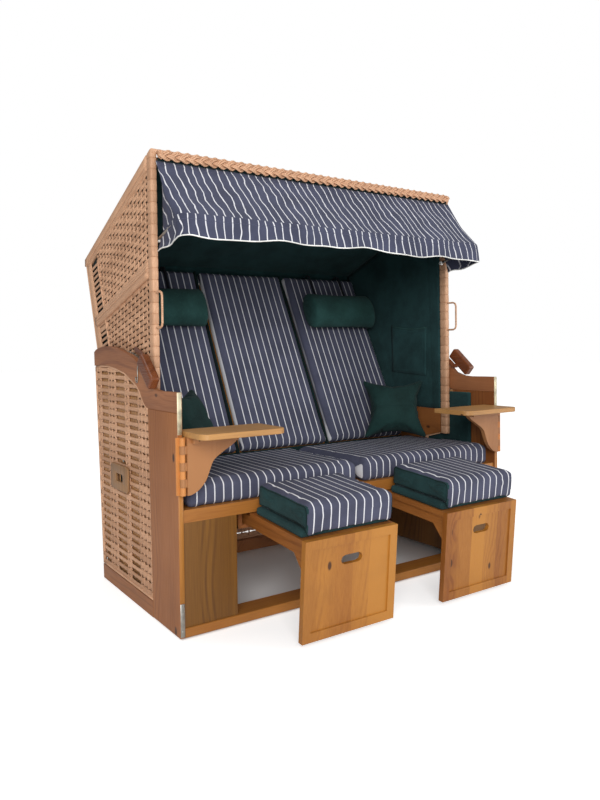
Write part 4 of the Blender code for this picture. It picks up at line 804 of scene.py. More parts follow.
@dataclass
class WovenWall:
    """A woven wall of courses over upright stakes, clipped to its outline.

    Attributes:
        outline: the edge of the woven field, in the wall's own two directions.
        lift: turns a place in the wall and a depth below its face into a point.
        across: direction across a course.
        out: direction out of the face.
        row: turns a place along a course and the course's level into a place in the wall.
        levels: one level for each course.
        profile: gives the lower and upper reach and the sway of a course at a place.
        stakes: where the upright stakes stand.
        holes: low and high corners of openings.
        free: tells where neither course nor stake is laid.
    """

    outline: Sequence[Point]
    lift: Callable[[float, float, float], Vector]
    across: Vector
    out: Vector
    row: Callable[[float, float], Point]
    levels: Sequence[float]
    profile: Callable[[float, float, int], tuple[float, float, float]]
    stakes: Sequence[float]
    holes: Sequence[tuple[Point, Point]] = ()
    depth: float = 0.0068
    thick: float = 0.0022
    step: float = 0.010
    seed: int = 1
    free: Callable[[float, float], bool] | None = None

    def clear(self, a: float, b: float) -> bool:
        """Tell whether a place is in the woven field and not in an opening."""
        if not within(self.outline, a, b) or (self.free and self.free(a, b)):
            return False
        return not any(low[0] < a < high[0] and low[1] < b < high[1] for low, high in self.holes)

    def spans(self, line: Callable[[float], Point], low: float, high: float) -> list[Point]:
        """Find the stretches of a line that lie in the woven field."""
        found, start, grid = [], None, 0.004
        count = int((high - low) / grid) + 1
        for number in range(count + 1):
            at = low + grid * number
            free = number < count and self.clear(*line(at))
            if free and start is None:
                start = at
            elif not free and start is not None:
                if at - grid - start > 0.012:
                    found.append((start, at - grid))
                start = None
        return found

    def weave(self, strands: StrandMesh) -> None:
        """Lay all courses and stakes into a set of strands."""
        chance = random.Random(self.seed)
        low = min(point[0] for point in self.outline)
        high = max(point[0] for point in self.outline)
        for number, level in enumerate(self.levels):
            for start, end in self.spans(lambda at: self.row(at, level), low, high):
                count = max(2, round((end - start) / self.step))
                line, lows, highs = [], [], []
                for part in range(count + 1):
                    at = start + (end - start) * part / count
                    below, above, sway = self.profile(at, level, number)
                    a, b = self.row(at, level)
                    line.append(self.lift(a, b, self.depth - sway))
                    lows.append(-below)
                    highs.append(above)
                strands.add(line, self.across, self.out, lows, highs, self.thick, 0.5 + 0.42 * chance.random())
        self._stand_stakes(strands)

    def _stand_stakes(self, strands: StrandMesh) -> None:
        """Stand the stakes behind and between the courses."""
        low = min(point[1] for point in self.outline)
        high = max(point[1] for point in self.outline)
        width_axis = self.across.cross(self.out)
        for at in self.stakes:
            for start, end in self.spans(lambda rise, at=at: (at, rise), low, high):
                line = [self.lift(at, start + (end - start) * part / 8, self.depth + 0.0012) for part in range(9)]
                strands.add_flat(line, width_axis, self.out, 0.0042, 0.0022, 0.42)

    def stand_laths(self, strands: StrandMesh) -> None:
        """Stand a row of flat laths behind the whole field."""
        low = min(point[1] for point in self.outline)
        high = max(point[1] for point in self.outline)
        width_axis = self.across.cross(self.out)
        first, last = min(point[0] for point in self.outline), max(point[0] for point in self.outline)
        count = round((last - first) / 0.022)
        for number in range(count):
            at = first + (number + 0.5) * (last - first) / count
            half = (last - first) / count / 2 - 0.0003
            for start, end in self.spans(lambda rise, at=at: (at, rise), low, high):
                line = [self.lift(at, start + (end - start) * part / 4, 0.0125) for part in range(5)]
                strands.add_flat(line, width_axis, self.out, half, 0.0010, 0.5)


def brick(at: float, number: int, wave: float, dip: float, half: float,
          sharp: float = 1.3) -> tuple[float, float, float]:
    """Give a course whose edges dip in turn above and below, as a bond of bricks.

    Args:
        at: place along the course.
        number: number of the course.
        wave: distance between two dips of the same edge.
        dip: how deep the dips are, as a share of half the height.
        half: half the height of the course.
        sharp: under 1 for long dips, over 1 for short ones.

    Returns:
        The lower reach, the upper reach and the sway out of the wall.
    """
    above = max(0.0, math.cos(2 * math.pi * (at / wave + 0.5 * (number % 2)))) ** sharp
    below = max(0.0, math.cos(2 * math.pi * (at / wave + 0.5 * ((number + 1) % 2)))) ** sharp
    sway = 0.0028 * math.cos(2 * math.pi * at / wave + math.pi * number)
    return half * (1 - dip * below), half * (1 - dip * above), sway


# Sub-assemblies


@dataclass
class Basket:
    """The woven basket: its sides, rear wall, linings and carrying plates."""

    shop: Workshop
    face: float = 0.750
    pitch: float = 0.02733
    courses: int = 29
    foot: float = 0.0565
    depth: float = 0.0058
    rear_high: float = 0.490
    rear_half: float = 0.728
    slots: tuple[Point, ...] = ((0.645, 0.735), (0.465, 0.570), (0.336, 0.432))
    underside: tuple[Point, ...] = ((0.2385, 0.710), (0.258, 0.713), (0.278, 0.727), (0.300, 0.752),
                                    (0.325, 0.776), (0.360, 0.792), (0.400, 0.806), (0.464, 0.828),
                                    (0.560, 0.843), (0.640, 0.8515), (0.720, 0.8515), (0.786, 0.8490))

    def build(self) -> None:
        """Build and dress every part of the basket."""
        for name, side in SIDES.items():
            self.weave_side(name, side)
            self.line_side(name, side)
            self.carve_plate(name, side)
            for node, finish in (("side_board", SIDE_TIMBER), ("bottom_rail", SIDE_RAIL), ("arm_board", ARM_TIMBER),
                                 ("box_panel", OLIVE_UPRIGHT), ("footrest_runner", SIDE_RAIL),
                                 ("hood_pivot", STEEL), ("catch_rack", STEEL)):
                self.shop.dress(f"{node}_{name}", finish)
        for node, finish in (("front_beam", HONEY_ACROSS), ("rear_beam", SIDE_RAIL), ("seat_board", HONEY_ACROSS)):
            self.shop.dress(node, finish)
        self.weave_rear()

    def profile(self, at: float, level: float, number: int) -> tuple[float, float, float]:
        """Give the reach and sway of a side course: open in the slot columns, dense between them."""
        open_share = 0.0
        for start, end in self.slots:
            open_share = max(open_share, ease(at, start, start + 0.010) * (1 - ease(at, end - 0.010, end)))
        half = self.pitch / 2 * (0.95 - 0.39 * open_share)
        below, above, sway = brick(at, number, 0.034, 0.30 * (1 - open_share), half)
        return below, above, sway * (1 - 0.6 * open_share)

    def weave_side(self, name: str, side: int) -> None:
        """Weave one side wall with its rear edge and foot rolls."""
        outline = [(0.2200, self.foot), *self.underside, (0.7300, self.foot)]
        stakes = [0.240 + 0.034 * n for n in range(16)] + [end for slot in self.slots for end in slot]
        stakes = [at for at in stakes if not any(start < at < end for start, end in self.slots)]
        wall = WovenWall(
            outline, lambda a, b, d: Vector((side * (self.face - d), a, b)), Vector((0, 0, 1)), Vector((side, 0, 0)),
            lambda at, level: (at, level), [self.foot + self.pitch * (n + 0.5) for n in range(self.courses)],
            self.profile, stakes, (((0.469, 0.4155), (0.557, 0.4525)),), self.depth, seed=3 + side)
        strands, laths = StrandMesh(), StrandMesh()
        wall.weave(strands)
        wall.stand_laths(laths)
        self.shop.fit(laths.to_object(f"side_laths_{name}"), LATHS, "base", "side_wood")
        out = Vector((side, 0, 0))
        strands.add_round([Vector((side * (self.face - 0.0048), y, z - 0.0030)) for y, z in self.underside], 0.0044,
                          0.62)
        rear = [Vector((side * (self.face - 0.0075), 0.7262 + 0.0738 * z, z)) for z in
                (0.058 + 0.0785 * n for n in range(11))]
        strands.add_round(rear, 0.0072, 0.6)
        foot = [Vector((side * (self.face - 0.006), 0.222 + 0.0505 * n, 0.060)) for n in range(11)]
        strands.add(foot, Vector((0, 0, 1)), out, [-0.004] * 11, [0.005] * 11, 0.005, 0.55)
        self.shop.fit(strands.to_object(f"side_weaving_{name}"), CANE, "base", "rattan", [f"side_weave_{name}"])

    def carve_plate(self, name: str, side: int) -> None:
        """Carve a carrying plate with cut corners and a slot for the fingers."""
        ring = [(0.423, 0.396), (0.434, 0.386), (0.592, 0.386), (0.603, 0.396), (0.603, 0.472), (0.592, 0.482),
                (0.434, 0.482), (0.423, 0.472)]
        plate = cut_board(f"carrying_plate_{name}", ring, self.face, self.face + 0.0066, side)
        slot = block("slot_cutter", (0.740, 0.476, 0.4185), (0.764, 0.550, 0.4495), 0.0105, 4)
        slot.data.transform(Matrix.Diagonal((side, 1, 1, 1)))
        if side < 0:
            slot.data.flip_normals()
        apply_modifier(plate, "BOOLEAN", operation="DIFFERENCE", object=slot, solver="EXACT")
        bpy.data.objects.remove(slot, do_unlink=True)
        apply_modifier(plate, "BEVEL", width=0.0016, segments=2, limit_method="ANGLE", angle_limit=math.radians(40))
        self.shop.fit(shade(plate), OLIVE_PLATE, "base", "pine", [f"carry_handle_{name}"])

    def weave_rear(self) -> None:
        """Weave the rear wall below the seat."""
        rise, out = Vector((0, 0.0736, 0.9973)), Vector((0, 0.9973, -0.0736))
        foot = Vector((0, 0.7318, 0.0503))
        half, low, high = self.rear_half, 0.004, self.rear_high
        wall = WovenWall(
            [(-half, low), (half, low), (half, high - 0.012), (-half, high - 0.012)],
            lambda a, b, d: foot + Vector((a, 0, 0)) + rise * b - out * d, rise, out, lambda at, level: (at, level),
            [0.0135 + self.pitch * n for n in range(17)],
            lambda at, level, number: brick(at, number, BOND, 0.34, self.pitch * 0.46),
            [-0.722 + STAKE_PITCH * n for n in range(39)], depth=self.depth, seed=9)
        strands = StrandMesh()
        wall.weave(strands)
        for level in (low, high - 0.007):
            line = [foot + rise * level - out * 0.007 + Vector((x * 0.0731, 0, 0)) for x in range(-10, 11)]
            strands.add_round(line, 0.0066, 0.6)
        self.shop.fit(strands.to_object("rear_weaving"), CANE, "base", "rattan", ["back_weave"])

    def line_side(self, name: str, side: int) -> None:
        """Line the inside of one basket wall with sewn cloth, and lay a dark strip of painted shade in the gap behind
        the seat once.
        """
        sheet = lined_panel(f"side_cloth_{name}", side, 0.7237, 0.7317, [(0.1275, 0.4035), (0.1275, 0.6990)],
                            [(0.7410, 0.4035), (0.7410, 0.6990)], seams=(0.30, 0.58), seed=21 + side)
        self.shop.fit(sheet, GREEN_DARK, "base", "green_cloth", [f"side_lining_{name}"])
        seam = [(side * 0.7275, 0.130 + 0.0610 * n, 0.6995) for n in range(11)]
        welt = rod(f"side_cloth_welt_{name}", seam, 0.0028)
        self.shop.fit(welt, GREEN, "base", "green_cloth")
        if side > 0:
            # A near-black strip in the gap behind the seat: painted shade.
            flap = painted_shade_flap("seat_gap_painted_shade", (-0.7215, 0.4800), (0.7215, 0.5300), 0.4036)
            self.shop.fit(flap, GREEN_BLACK, "base", "green_cloth")


def painted_shade_flap(name: str, low: Point, high: Point, level: float) -> bpy.types.Object:
    """Make a flat thin strip with a gentle wave, lying on the seat board, that stands as painted shade in the gap
    behind the seat.
    """
    flap = block(name, (*low, level), (*high, level + 0.0050), 0.0018)
    bpy.ops.object.mode_set(mode="EDIT")
    bpy.ops.mesh.select_all(action="SELECT")
    bpy.ops.mesh.subdivide(number_cuts=6)
    bpy.ops.object.mode_set(mode="OBJECT")
    for vert in flap.data.vertices:
        if vert.co.z > level + 0.003:
            vert.co.z -= 0.0008 * (1 + math.sin(17 * vert.co.x))
    return flap


def lined_panel(name: str, side: int, inner: float, outer: float, front: Sequence[Point],
                rear: Sequence[Point], seams: Sequence[float] = (), seed: int = 1, swell: float = 0.0011,
                rows: int = 34, columns: int = 34) -> bpy.types.Object:
    """Make a cloth-covered panel beside the sitters, between a front edge and a rear edge.

    Args:
        name: name of the piece.
        side: -1 for the left, 1 for the right.
        inner: distance of its visible face from the middle of the chair.
        outer: distance of its rear face.
        front: front edge from its foot to its top, in Y and Z.
        rear: rear edge from its foot to its top.
        seams: shares of the way from front to rear where a seam runs.
        seed: seed of its small waves.
        swell: how far the cloth waves.
        rows: number of steps up.
        columns: number of steps from front to rear.

    Returns:
        The panel as a closed piece.
    """
    def along(edge: Sequence[Point], share: float) -> Vector:
        """Give the point at a share of an edge's length."""
        lengths = [(Vector(b) - Vector(a)).length for a, b in zip(edge, edge[1:])]
        left = share * sum(lengths)
        for (a, b), length in zip(zip(edge, edge[1:]), lengths):
            if left <= length + 1e-9:
                return Vector(a).lerp(Vector(b), left / length)
            left -= length
        return Vector(edge[-1])
    wave = cloth_waves(random.Random(seed), 3, 9, 4)
    points = []
    for row in range(rows + 1):
        start, end = along(front, row / rows), along(rear, row / rows)
        for column in range(columns + 1):
            u, v = column / columns, row / rows
            place = start.lerp(end, u)
            rim = min(1.0, 10 * u, 10 * (1 - u), 10 * v, 10 * (1 - v))
            bump = swell * (0.5 + 0.5 * wave(u, v)) * rim
            for seam in seams:
                bump -= 0.0016 * math.exp(-((u - seam) / 0.009) ** 2)
            points.append((side * (inner + 0.0012 - bump), place.x, place.y))
    points += [(side * (outer - 0.0004), y, z) for _, y, z in points]
    return mesh_object(name, points, sheet_faces(rows, columns))


@dataclass
class Hood:
    """The woven hood with its posts, plaited edge, linings and grip loops."""

    shop: Workshop
    half: float = 0.722
    inner: float = 0.7045
    post_rear: float = 0.283
    post_top: float = 1.5975
    slotted: float = 0.142
    pitch: float = 0.0213
    course: float = 0.0262
    slope_top: float = -0.3949
    band: float = 0.006
    hub: float = 0.0728
    cloth: tuple[float, float] = (0.6982, 0.7037)
    fan: float = 0.303

    def build(self) -> None:
        """Build and dress every part of the hood."""
        for name, side in SIDES.items():
            self.weave_side(name, side)
            self.wrap_post(name, side)
            self.line_side(name, side)
            self.shop.dress(f"hood_handle_{name}", CANE_WRAP)
        self.weave_slope("roof_weaving", "hood_roof", (ROOF_FRONT, KNEE), (0.010, 0.792),
                         [0.020 + self.course * n for n in range(30)], ((0.799, 0.0088), (0.008, 0.0080)), 12)
        self.weave_slope("back_weaving", "hood_back", (KNEE, BACK_END), (0.018, 0.672),
                         [0.028 + self.course * n for n in range(25)], ((0.677, 0.0085),), 14)
        self.plait_edge()
        self.line_ceiling()
        self.shop.dress("back_board", HONEY_ACROSS)

    def row(self, at: float, level: float) -> Point:
        """Fan the courses: parallel to the roof at the top and flatter further down."""
        slope = self.slope_top + self.fan * (1.5842 - level)
        return at, level + slope * (at - self.post_rear)

    def back_at(self, z: float) -> float:
        """Give the Y of the hood's outer back edge at a height."""
        return KNEE[0] - (KNEE[0] - BACK_END[0]) / (KNEE[1] - BACK_END[1]) * (KNEE[1] - z)

    def profile(self, at: float, level: float, number: int) -> tuple[float, float, float]:
        """Give the reach and sway of a side course, with open slots at the post."""
        scale = 1 - self.fan * (at - self.post_rear)
        edge = 0.85 * (1 - ease(at, self.post_rear + 0.025, self.post_rear + 0.032))
        half = self.pitch / 2 * scale * (0.93 - 0.42 * edge)
        below, above, sway = brick(at, number, BOND, max(0.0, 0.30 * (1 - edge)), half, 0.7)
        return below, above, sway * (1 - 0.7 * edge)

    def weave_side(self, name: str, side: int) -> None:
        """Weave one hood side with its smooth bands and rolls."""
        turns = [math.radians(angle) for angle in (205, 230, 255, 280, 305, 333.6)]
        hub = [(PIVOT[0] + self.hub * math.cos(a), PIVOT[1] + self.hub * math.sin(a)) for a in turns]
        outline = [(self.post_rear + 0.001, 0.509), *hub, (0.6977, 0.7345), (0.744, 0.664), (0.974, 1.303),
                   (self.post_rear + 0.001, 1.5645)]
        levels = [1.5225 - self.pitch * n for n in range(15)]
        levels += [1.1500 - self.pitch * n for n in range(34)]
        wall = WovenWall(outline, lambda a, b, d: Vector((side * (self.half - d), a, b)), Vector((0, 0, 1)),
                         Vector((side, 0, 0)), self.row, levels, self.profile,
                         [0.312 + STAKE_PITCH * n for n in range(19)], seed=5 + side)
        wall.free = lambda a, b: a > self.back_at(b) - self.slotted
        strands = StrandMesh()
        wall.weave(strands)
        out, up = Vector((side, 0, 0)), Vector((0, 0, 1))
        wide = StrandMesh(shoulder=0.86)
        roof = [Vector((side * (self.half - self.band), y, z - 0.0165)) for y, z in
                (self._between(ROOF_FRONT, KNEE, 0.056 + 0.944 * n / 24) for n in range(25))]
        wide.add_flat(roof, up, out, 0.0165, 0.006, 0.55)
        strands.add_round([Vector((side * (0.688 + 0.004 * n), self.post_rear - 0.053, 1.580)) for n in range(4)],
                          0.0100, 0.4)
        self._edge_slots(strands, wide, side)
        # The lowest strip takes a low tone, painted shade just above the roll below it.
        for level, thick, tone in ((1.2100, 0.0045, 0.42), (1.1975, 0.0052, 0.60), (1.1850, 0.0045, 0.36)):
            line = [self.row(self.post_rear + (0.925 - self.post_rear) * n / 24, level) for n in range(25)]
            line = [(y, z) for y, z in line if y < self.back_at(z) - 0.012]
            line = [Vector((side * (self.half - self.band), y, z)) for y, z in line]
            wide.add_flat(line, up, out, 0.0060, thick, tone)
        for level, slope_level, radius in ((1.5425, 1.5842, 0.0105), (1.1700, 1.1700, 0.0118)):
            slope = self.slope_top + self.fan * (1.5842 - slope_level)
            line = [(self.post_rear - 0.002 + 0.0175 * n, level + slope * 0.0175 * n) for n in range(42)]
            stand = 0.0005 if level > 1.5 else 0.0075
            line = [Vector((side * (self.half - radius + stand), y, z)) for y, z in line
                    if y < self.back_at(z) - (0.006 if level > 1.5 else 0.040)]
            strands.add_round(line, radius, 0.70, widths=[1 + 0.06 * math.sin(1.9 * n) for n in range(len(line))])
        rear = [Vector((side * (self.half - 0.0085), y - 0.007, z)) for y, z in
                (self._between(KNEE, BACK_END, n / 20) for n in range(21))]
        strands.add_round(rear, 0.0085, 0.6)
        foot = [Vector((side * (self.half - self.band), y, z)) for y, z in
                [(self.post_rear, 0.513), (0.434, 0.4735), *hub[1:], (0.6957, 0.7345)]]
        strands.add_round(foot, 0.0055, 0.55)
        woven = join(f"hood_weaving_{name}", [strands.to_object(f"weaving_{name}"), wide.to_object(f"bands_{name}")])
        self.shop.fit(woven, CANE, "hood", "rattan", [f"hood_side_{name}"])

    def _edge_slots(self, strands: StrandMesh, wide: StrandMesh, side: int) -> None:
        """Lay the open bars and the smooth band along the rear edge of a side, over a dark board behind the whole
        side that paints the shade seen through the weave.
        """
        out, up = Vector((side, 0, 0)), Vector((0, 0, 1))
        for number in range(26):
            z = 1.2500 - 0.0217 * number
            if z < 0.735:
                break
            half = 0.0112 if 0.985 < z < 1.045 else 0.0068
            line = [Vector((side * (self.half - 0.0066), self.back_at(z) - back, z + 0.25 * (back - 0.05)))
                    for back in (0.150, 0.128, 0.106, 0.084, 0.062, 0.050)]
            strands.add_flat(line, up, out, half, 0.0026, 0.55 + 0.3 * (number % 3) / 2)
        for back, half, tone in ((0.146, 0.0040, 0.5), (0.0300, 0.0285, 0.56)):
            line = [Vector((side * (self.half - 0.0062), self.back_at(z) - back, z))
                    for z in (1.278 - 0.0245 * n for n in range(24))]
            wide.add_flat(line, Vector((0, *BACK_OUT)), out, half, 0.0040, tone)
        ring = [(self.post_rear + 0.002, 0.530), (0.424, 0.500), (0.436, 0.560), (0.500, 0.582), (0.560, 0.560),
                (0.580, 0.520), (0.690, 0.740), (0.742, 0.676), (0.975, 1.304), (self.post_rear + 0.002, 1.575)]
        name = "left" if side < 0 else "right"
        # A near-black board in front of the lining: painted shade in the gaps and slots of the weave.
        board = cut_board(f"hood_side_shade_board_{name}", ring, 0.7042, 0.7064, side)
        self.shop.fit(board, GREEN_BLACK, "hood", "green_cloth")

    @staticmethod
    def _between(start: Point, end: Point, share: float) -> Point:
        """Give the place at a share of the way between two places."""
        return start[0] + (end[0] - start[0]) * share, start[1] + (end[1] - start[1]) * share

    def wrap_post(self, name: str, side: int) -> None:
        """Wrap one front post in cane, turn by turn."""
        chance = random.Random(31 + side)
        strands = StrandMesh()
        level, top = 0.508, self.post_top
        x_mid, y_mid = side * (self.half - 0.0125), 0.263
        while level < top - 0.004:
            height = min(chance.uniform(0.034, 0.041), top - level)
            grow = chance.uniform(-0.0003, 0.0004)
            tone = 0.5 + 0.4 * chance.random()
            rings = []
            for share, inset in ((0.0, 0.0016), (0.06, 0.0002), (0.5, -grow), (0.94, 0.0002), (1.0, 0.0016)):
                ring = []
                for step in range(16):
                    angle = 2 * math.pi * (step + 0.5) / 16
                    c, s = math.cos(angle), math.sin(angle)
                    reach_x = (0.0125 - inset) * math.copysign(abs(c) ** 0.42, c)
                    reach_y = (0.020 - inset) * math.copysign(abs(s) ** 0.42, s)
                    z = level + share * height
                    z_top = z + max(0.0, (y_mid + reach_y - 0.243)) * self.slope_top * ease(z, top - 0.03, top)
                    ring.append((Vector((x_mid + side * reach_x, y_mid + reach_y, z_top)), (z * 3, angle * 0.02)))
                rings.append(ring)
            strands.close(rings, tone)
            level += height
        self.shop.fit(strands.to_object(f"post_wrapping_{name}"), CANE, "hood", "rattan")

    def weave_slope(self, name: str, node: str, ends: tuple[Point, Point], reach: Point, levels: Sequence[float],
                    rolls: Sequence[Point], seed: int) -> None:
        """Weave the hood's roof or back, with rolls across it.

        Args:
            name: name of the piece.
            node: the node of the frame that it stands for.
            ends: Y and Z of its two edges on the outside.
            reach: where the woven field starts and ends, from the first edge.
            levels: one level for each course.
            rolls: place from the first edge and radius of each roll.
            seed: seed of the courses' tones.
        """
        (y, z), (far_y, far_z) = ends
        along = Vector((0, far_y - y, far_z - z)).normalized()
        out, start = Vector((0, -along.z, along.y)), Vector((0, y, z))
        wall = WovenWall(
            [(-self.inner, reach[0]), (self.inner, reach[0]), (self.inner, reach[1]), (-self.inner, reach[1])],
            lambda a, b, d: start + Vector((a, 0, 0)) + along * b - out * d, along, out,
            lambda at, level: (at, level), levels,
            lambda at, level, number: brick(at, number, BOND, 0.34, 0.0124),
            [-0.703 + STAKE_PITCH * n for n in range(38)], seed=seed)
        strands = StrandMesh()
        wall.weave(strands)
        for place, radius in rolls:
            self._roll_across(strands, start + along * place - out * 0.009, radius)
        self.shop.fit(strands.to_object(name), CANE, "hood", "rattan", [node])

    def _roll_across(self, strands: StrandMesh, middle: Vector, radius: float) -> None:
        """Lay a roll over the whole width of the hood."""
        line = [middle + Vector((self.half * 0.995 * n / 24, 0, 0)) for n in range(-24, 25)]
        strands.add_round(line, radius, 0.6, widths=[1 + 0.04 * math.sin(2.3 * n) for n in range(len(line))])

    def plait_edge(self) -> None:
        """Plait three flat bundles of cane along the front of the roof."""
        strands = StrandMesh(shoulder=0.72)
        length, middle, reach = 0.108, Vector((0, 0.2250, 1.5740)), 0.7020
        count, height, swing = 380, 0.0128, 0.0062
        up, out = Vector((0, 0.18, 0.984)).normalized(), Vector((0, -0.984, 0.18)).normalized()
        along = Vector((1, 0, 0))
        for bundle in range(3):
            for cane, offset in enumerate((-0.0035, 0.0035)):
                line, wide, halves = [], [], []
                for number in range(count + 1):
                    x = -reach + 2 * reach * number / count
                    turn = 2 * math.pi * (x / length + bundle / 3)
                    fade = math.sqrt(max(0.02, 1 - max(0.0, (abs(x) - reach + 0.016) / 0.016) ** 2))
                    slope = height * 2 * math.pi / length * math.cos(turn)
                    width = (up - along * slope).normalized()
                    spot = middle + along * x + up * (height * fade * math.sin(turn))
                    spot += out * (swing * math.sin(2 * turn))
                    line.append(spot + width * (offset * fade))
                    wide.append(width)
                    halves.append(0.0036 * fade)
                strands.add(line, wide, out, [-half for half in halves], halves, 0.0030,
                            0.46 + 0.12 * cane + 0.06 * bundle)
        for mark in (-1, 1):
            ring = [middle + Vector((mark * (reach - 0.012), 0, 0)) + up * (0.014 * math.sin(a))
                    + out * (0.008 * math.cos(a)) for a in (2 * math.pi * n / 14 for n in range(15))]
            strands.add_round(ring, 0.0034, 0.6)
        self.shop.fit(strands.to_object("plaited_edge"), CANE, "hood", "rattan", ["braid_trim"])
        facing = block("edge_facing", (-0.6965, 0.2345, 1.5500), (0.6965, 0.2425, 1.5900), 0.0015)
        self.shop.fit(facing, GREEN_BLACK, "hood", "green_cloth")

    def line_side(self, name: str, side: int) -> None:
        """Line the inside of one hood side, with a pocket on the right and a board at its foot."""
        front = [(0.2835, 0.6200), (0.2835, 1.5637)]
        rear = [(0.6430, 0.6245), (0.9370, 1.2180), (0.9662, 1.2950)]
        cloth = lined_panel(f"hood_cloth_{name}", side, *self.cloth, front, rear, (0.12, 0.80), 41 + side)
        self.shop.fit(cloth, GREEN_DARK, "hood", "green_cloth")
        foot = [(0.2840, 0.5120), (0.4330, 0.4760), (0.4560, 0.4460), (0.5120, 0.4305), (0.5600, 0.4690),
                (0.6430, 0.6240), (0.2840, 0.6195)]
        board = cut_board(f"hood_foot_board_{name}", foot, 0.6990, 0.7035, side)
        self.shop.fit(board, SIDE_RAIL, "hood", "side_wood")
        if side < 0:
            return
        pocket = lined_panel("hood_pocket", side, 0.6950, self.cloth[0], [(0.372, 0.772), (0.366, 1.000)],
                             [(0.604, 0.786), (0.610, 1.016)], (), 47, swell=0.0050, rows=20, columns=20)
        sag = [0.012 * math.sin(math.pi * n / 12) for n in range(13)]
        for vert in pocket.data.vertices:
            share = (vert.co.y - FRONT - 0.366) / 0.244
            vert.co.z -= 0.012 * math.sin(math.pi * min(1.0, max(0.0, share))) * ease(vert.co.z, 0.80, 1.0)
        self.shop.fit(pocket, GREEN_DARK, "hood", "green_cloth")
        hem = rod("hood_pocket_hem", [(side * (0.6958 - 0.15 * dip), 0.366 + 0.0203 * n, 1.000 + 0.0013 * n - dip)
                                      for n, dip in enumerate(sag)], 0.0026)
        self.shop.fit(hem, GREEN, "hood", "green_cloth")

    def line_ceiling(self) -> None:
        """Line the roof, the hood's back above the cushions and the inside of the knee."""
        half, rows, columns = 0.7036, 40, 60
        edge = [(0.2835, 1.5635), (0.9655, 1.2942), (0.9360, 1.2160)]
        wave = cloth_waves(random.Random(77), 4, 12, 5)
        points = []
        lengths = [(Vector(b) - Vector(a)).length for a, b in zip(edge, edge[1:])]
        for row in range(rows + 1):
            left = row / rows * sum(lengths)
            part = 0 if left <= lengths[0] else 1
            share = (left - (lengths[0] if part else 0.0)) / lengths[part]
            y, z = self._between(edge[part], edge[part + 1], min(1.0, share))
            normal = -Vector(BACK_OUT if part else ROOF_OUT)
            for column in range(columns + 1):
                u, v = column / columns, row / rows
                rim = min(1.0, 12 * u, 12 * (1 - u), 12 * v, 12 * (1 - v))
                sink = 0.0030 + 0.0022 * (0.5 + 0.5 * wave(u, v)) * rim
                sink -= 0.0016 * math.exp(-((u - 0.5) / 0.004) ** 2)
                points.append((-half + 2 * half * u, y + normal.x * sink, z + normal.y * sink))
        points += [(x, y, z + 0.0020) for x, y, z in points]
        ceiling = mesh_object("hood_ceiling", points, sheet_faces(rows, columns))
        self.shop.fit(ceiling, GREEN_DARK, "hood", "green_cloth", ["hood_lining"])


# Cushions


def stuffed(name: str, low: Sequence[float], high: Sequence[float], edge: float, cap: float,
            voxel: float = 0.006, pressure: float = 4.0, pillow: float = 0.0) -> bpy.types.Object:
    """Sew a block of cloth and fill it, by a cloth simulation whose result is kept.

    Args:
        name: name of the piece.
        low: low corner of the block before it is filled.
        high: high corner.
        edge: roundness of its edges.
        cap: the furthest that filling may move the cloth.
        voxel: size of the mesh.
        pressure: pressure of the filling.
        pillow: how far the block thins towards its edges, from 0 to 1.

    Returns:
        The filled piece in its own places.
    """
    middle = [(a + b) / 2 for a, b in zip(low, high)]
    thing = cube(name, middle, [b - a for a, b in zip(low, high)])
    apply_modifier(thing, "BEVEL", width=edge, segments=4, limit_method="NONE")
    apply_modifier(thing, "REMESH", mode="VOXEL", voxel_size=voxel)
    if pillow:
        reach = [(b - a) / 2 for a, b in zip(low, high)]
        for vert in thing.data.vertices:
            u, w = ((vert.co[n] - middle[n]) / reach[n] for n in (0, 2))
            thin = 1 - pillow * max(abs(u), abs(w)) ** 3
            vert.co.y = middle[1] + (vert.co.y - middle[1]) * thin
            vert.co.x = middle[0] + (vert.co.x - middle[0]) * (1 - 0.05 * (1 - w * w))
            vert.co.z = middle[2] + (vert.co.z - middle[2]) * (1 - 0.05 * (1 - u * u))
    fill(thing, cap, pressure)
    thing.data.shade_smooth()
    return thing


def fill(thing: bpy.types.Object, cap: float, pressure: float) -> None:
    """Blow a closed cloth up and keep each point within a distance of where it was."""
    before = [vert.co.copy() for vert in thing.data.vertices]
    cloth = thing.modifiers.new("filling", "CLOTH")
    settings = cloth.settings
    settings.quality = 5
    settings.mass = 0.3
    settings.use_pressure = True
    settings.uniform_pressure_force = pressure
    settings.tension_stiffness = settings.compression_stiffness = 12.0
    settings.shear_stiffness = 6.0
    settings.bending_stiffness = 0.4
    settings.effector_weights.gravity = 0.0
    cloth.collision_settings.use_collision = False
    scene = bpy.context.scene
    for number in range(1, 21):
        scene.frame_set(number)
    choose(thing)
    bpy.ops.object.modifier_apply(modifier=cloth.name)
    scene.frame_set(1)
    for vert, start in zip(thing.data.vertices, before):
        move = vert.co - start
        if move.length > cap:
            vert.co = start + move * (cap / move.length)


def shape(thing: bpy.types.Object, change: Callable[[Vector], Vector]) -> bpy.types.Object:
    """Move every point of a piece by a function of its place."""
    for vert in thing.data.vertices:
        vert.co = change(vert.co)
    thing.data.update()
    return thing


def copied(thing: bpy.types.Object, name: str, matrix: Matrix) -> bpy.types.Object:
    """Copy a piece with its own mesh and place the copy by a matrix."""
    twin = thing.copy()
    twin.data = thing.data.copy()
    twin.name = twin.data.name = name
    bpy.context.scene.collection.objects.link(twin)
    twin.data.transform(matrix)
    if matrix.determinant() < 0:
        twin.data.flip_normals()
    return twin


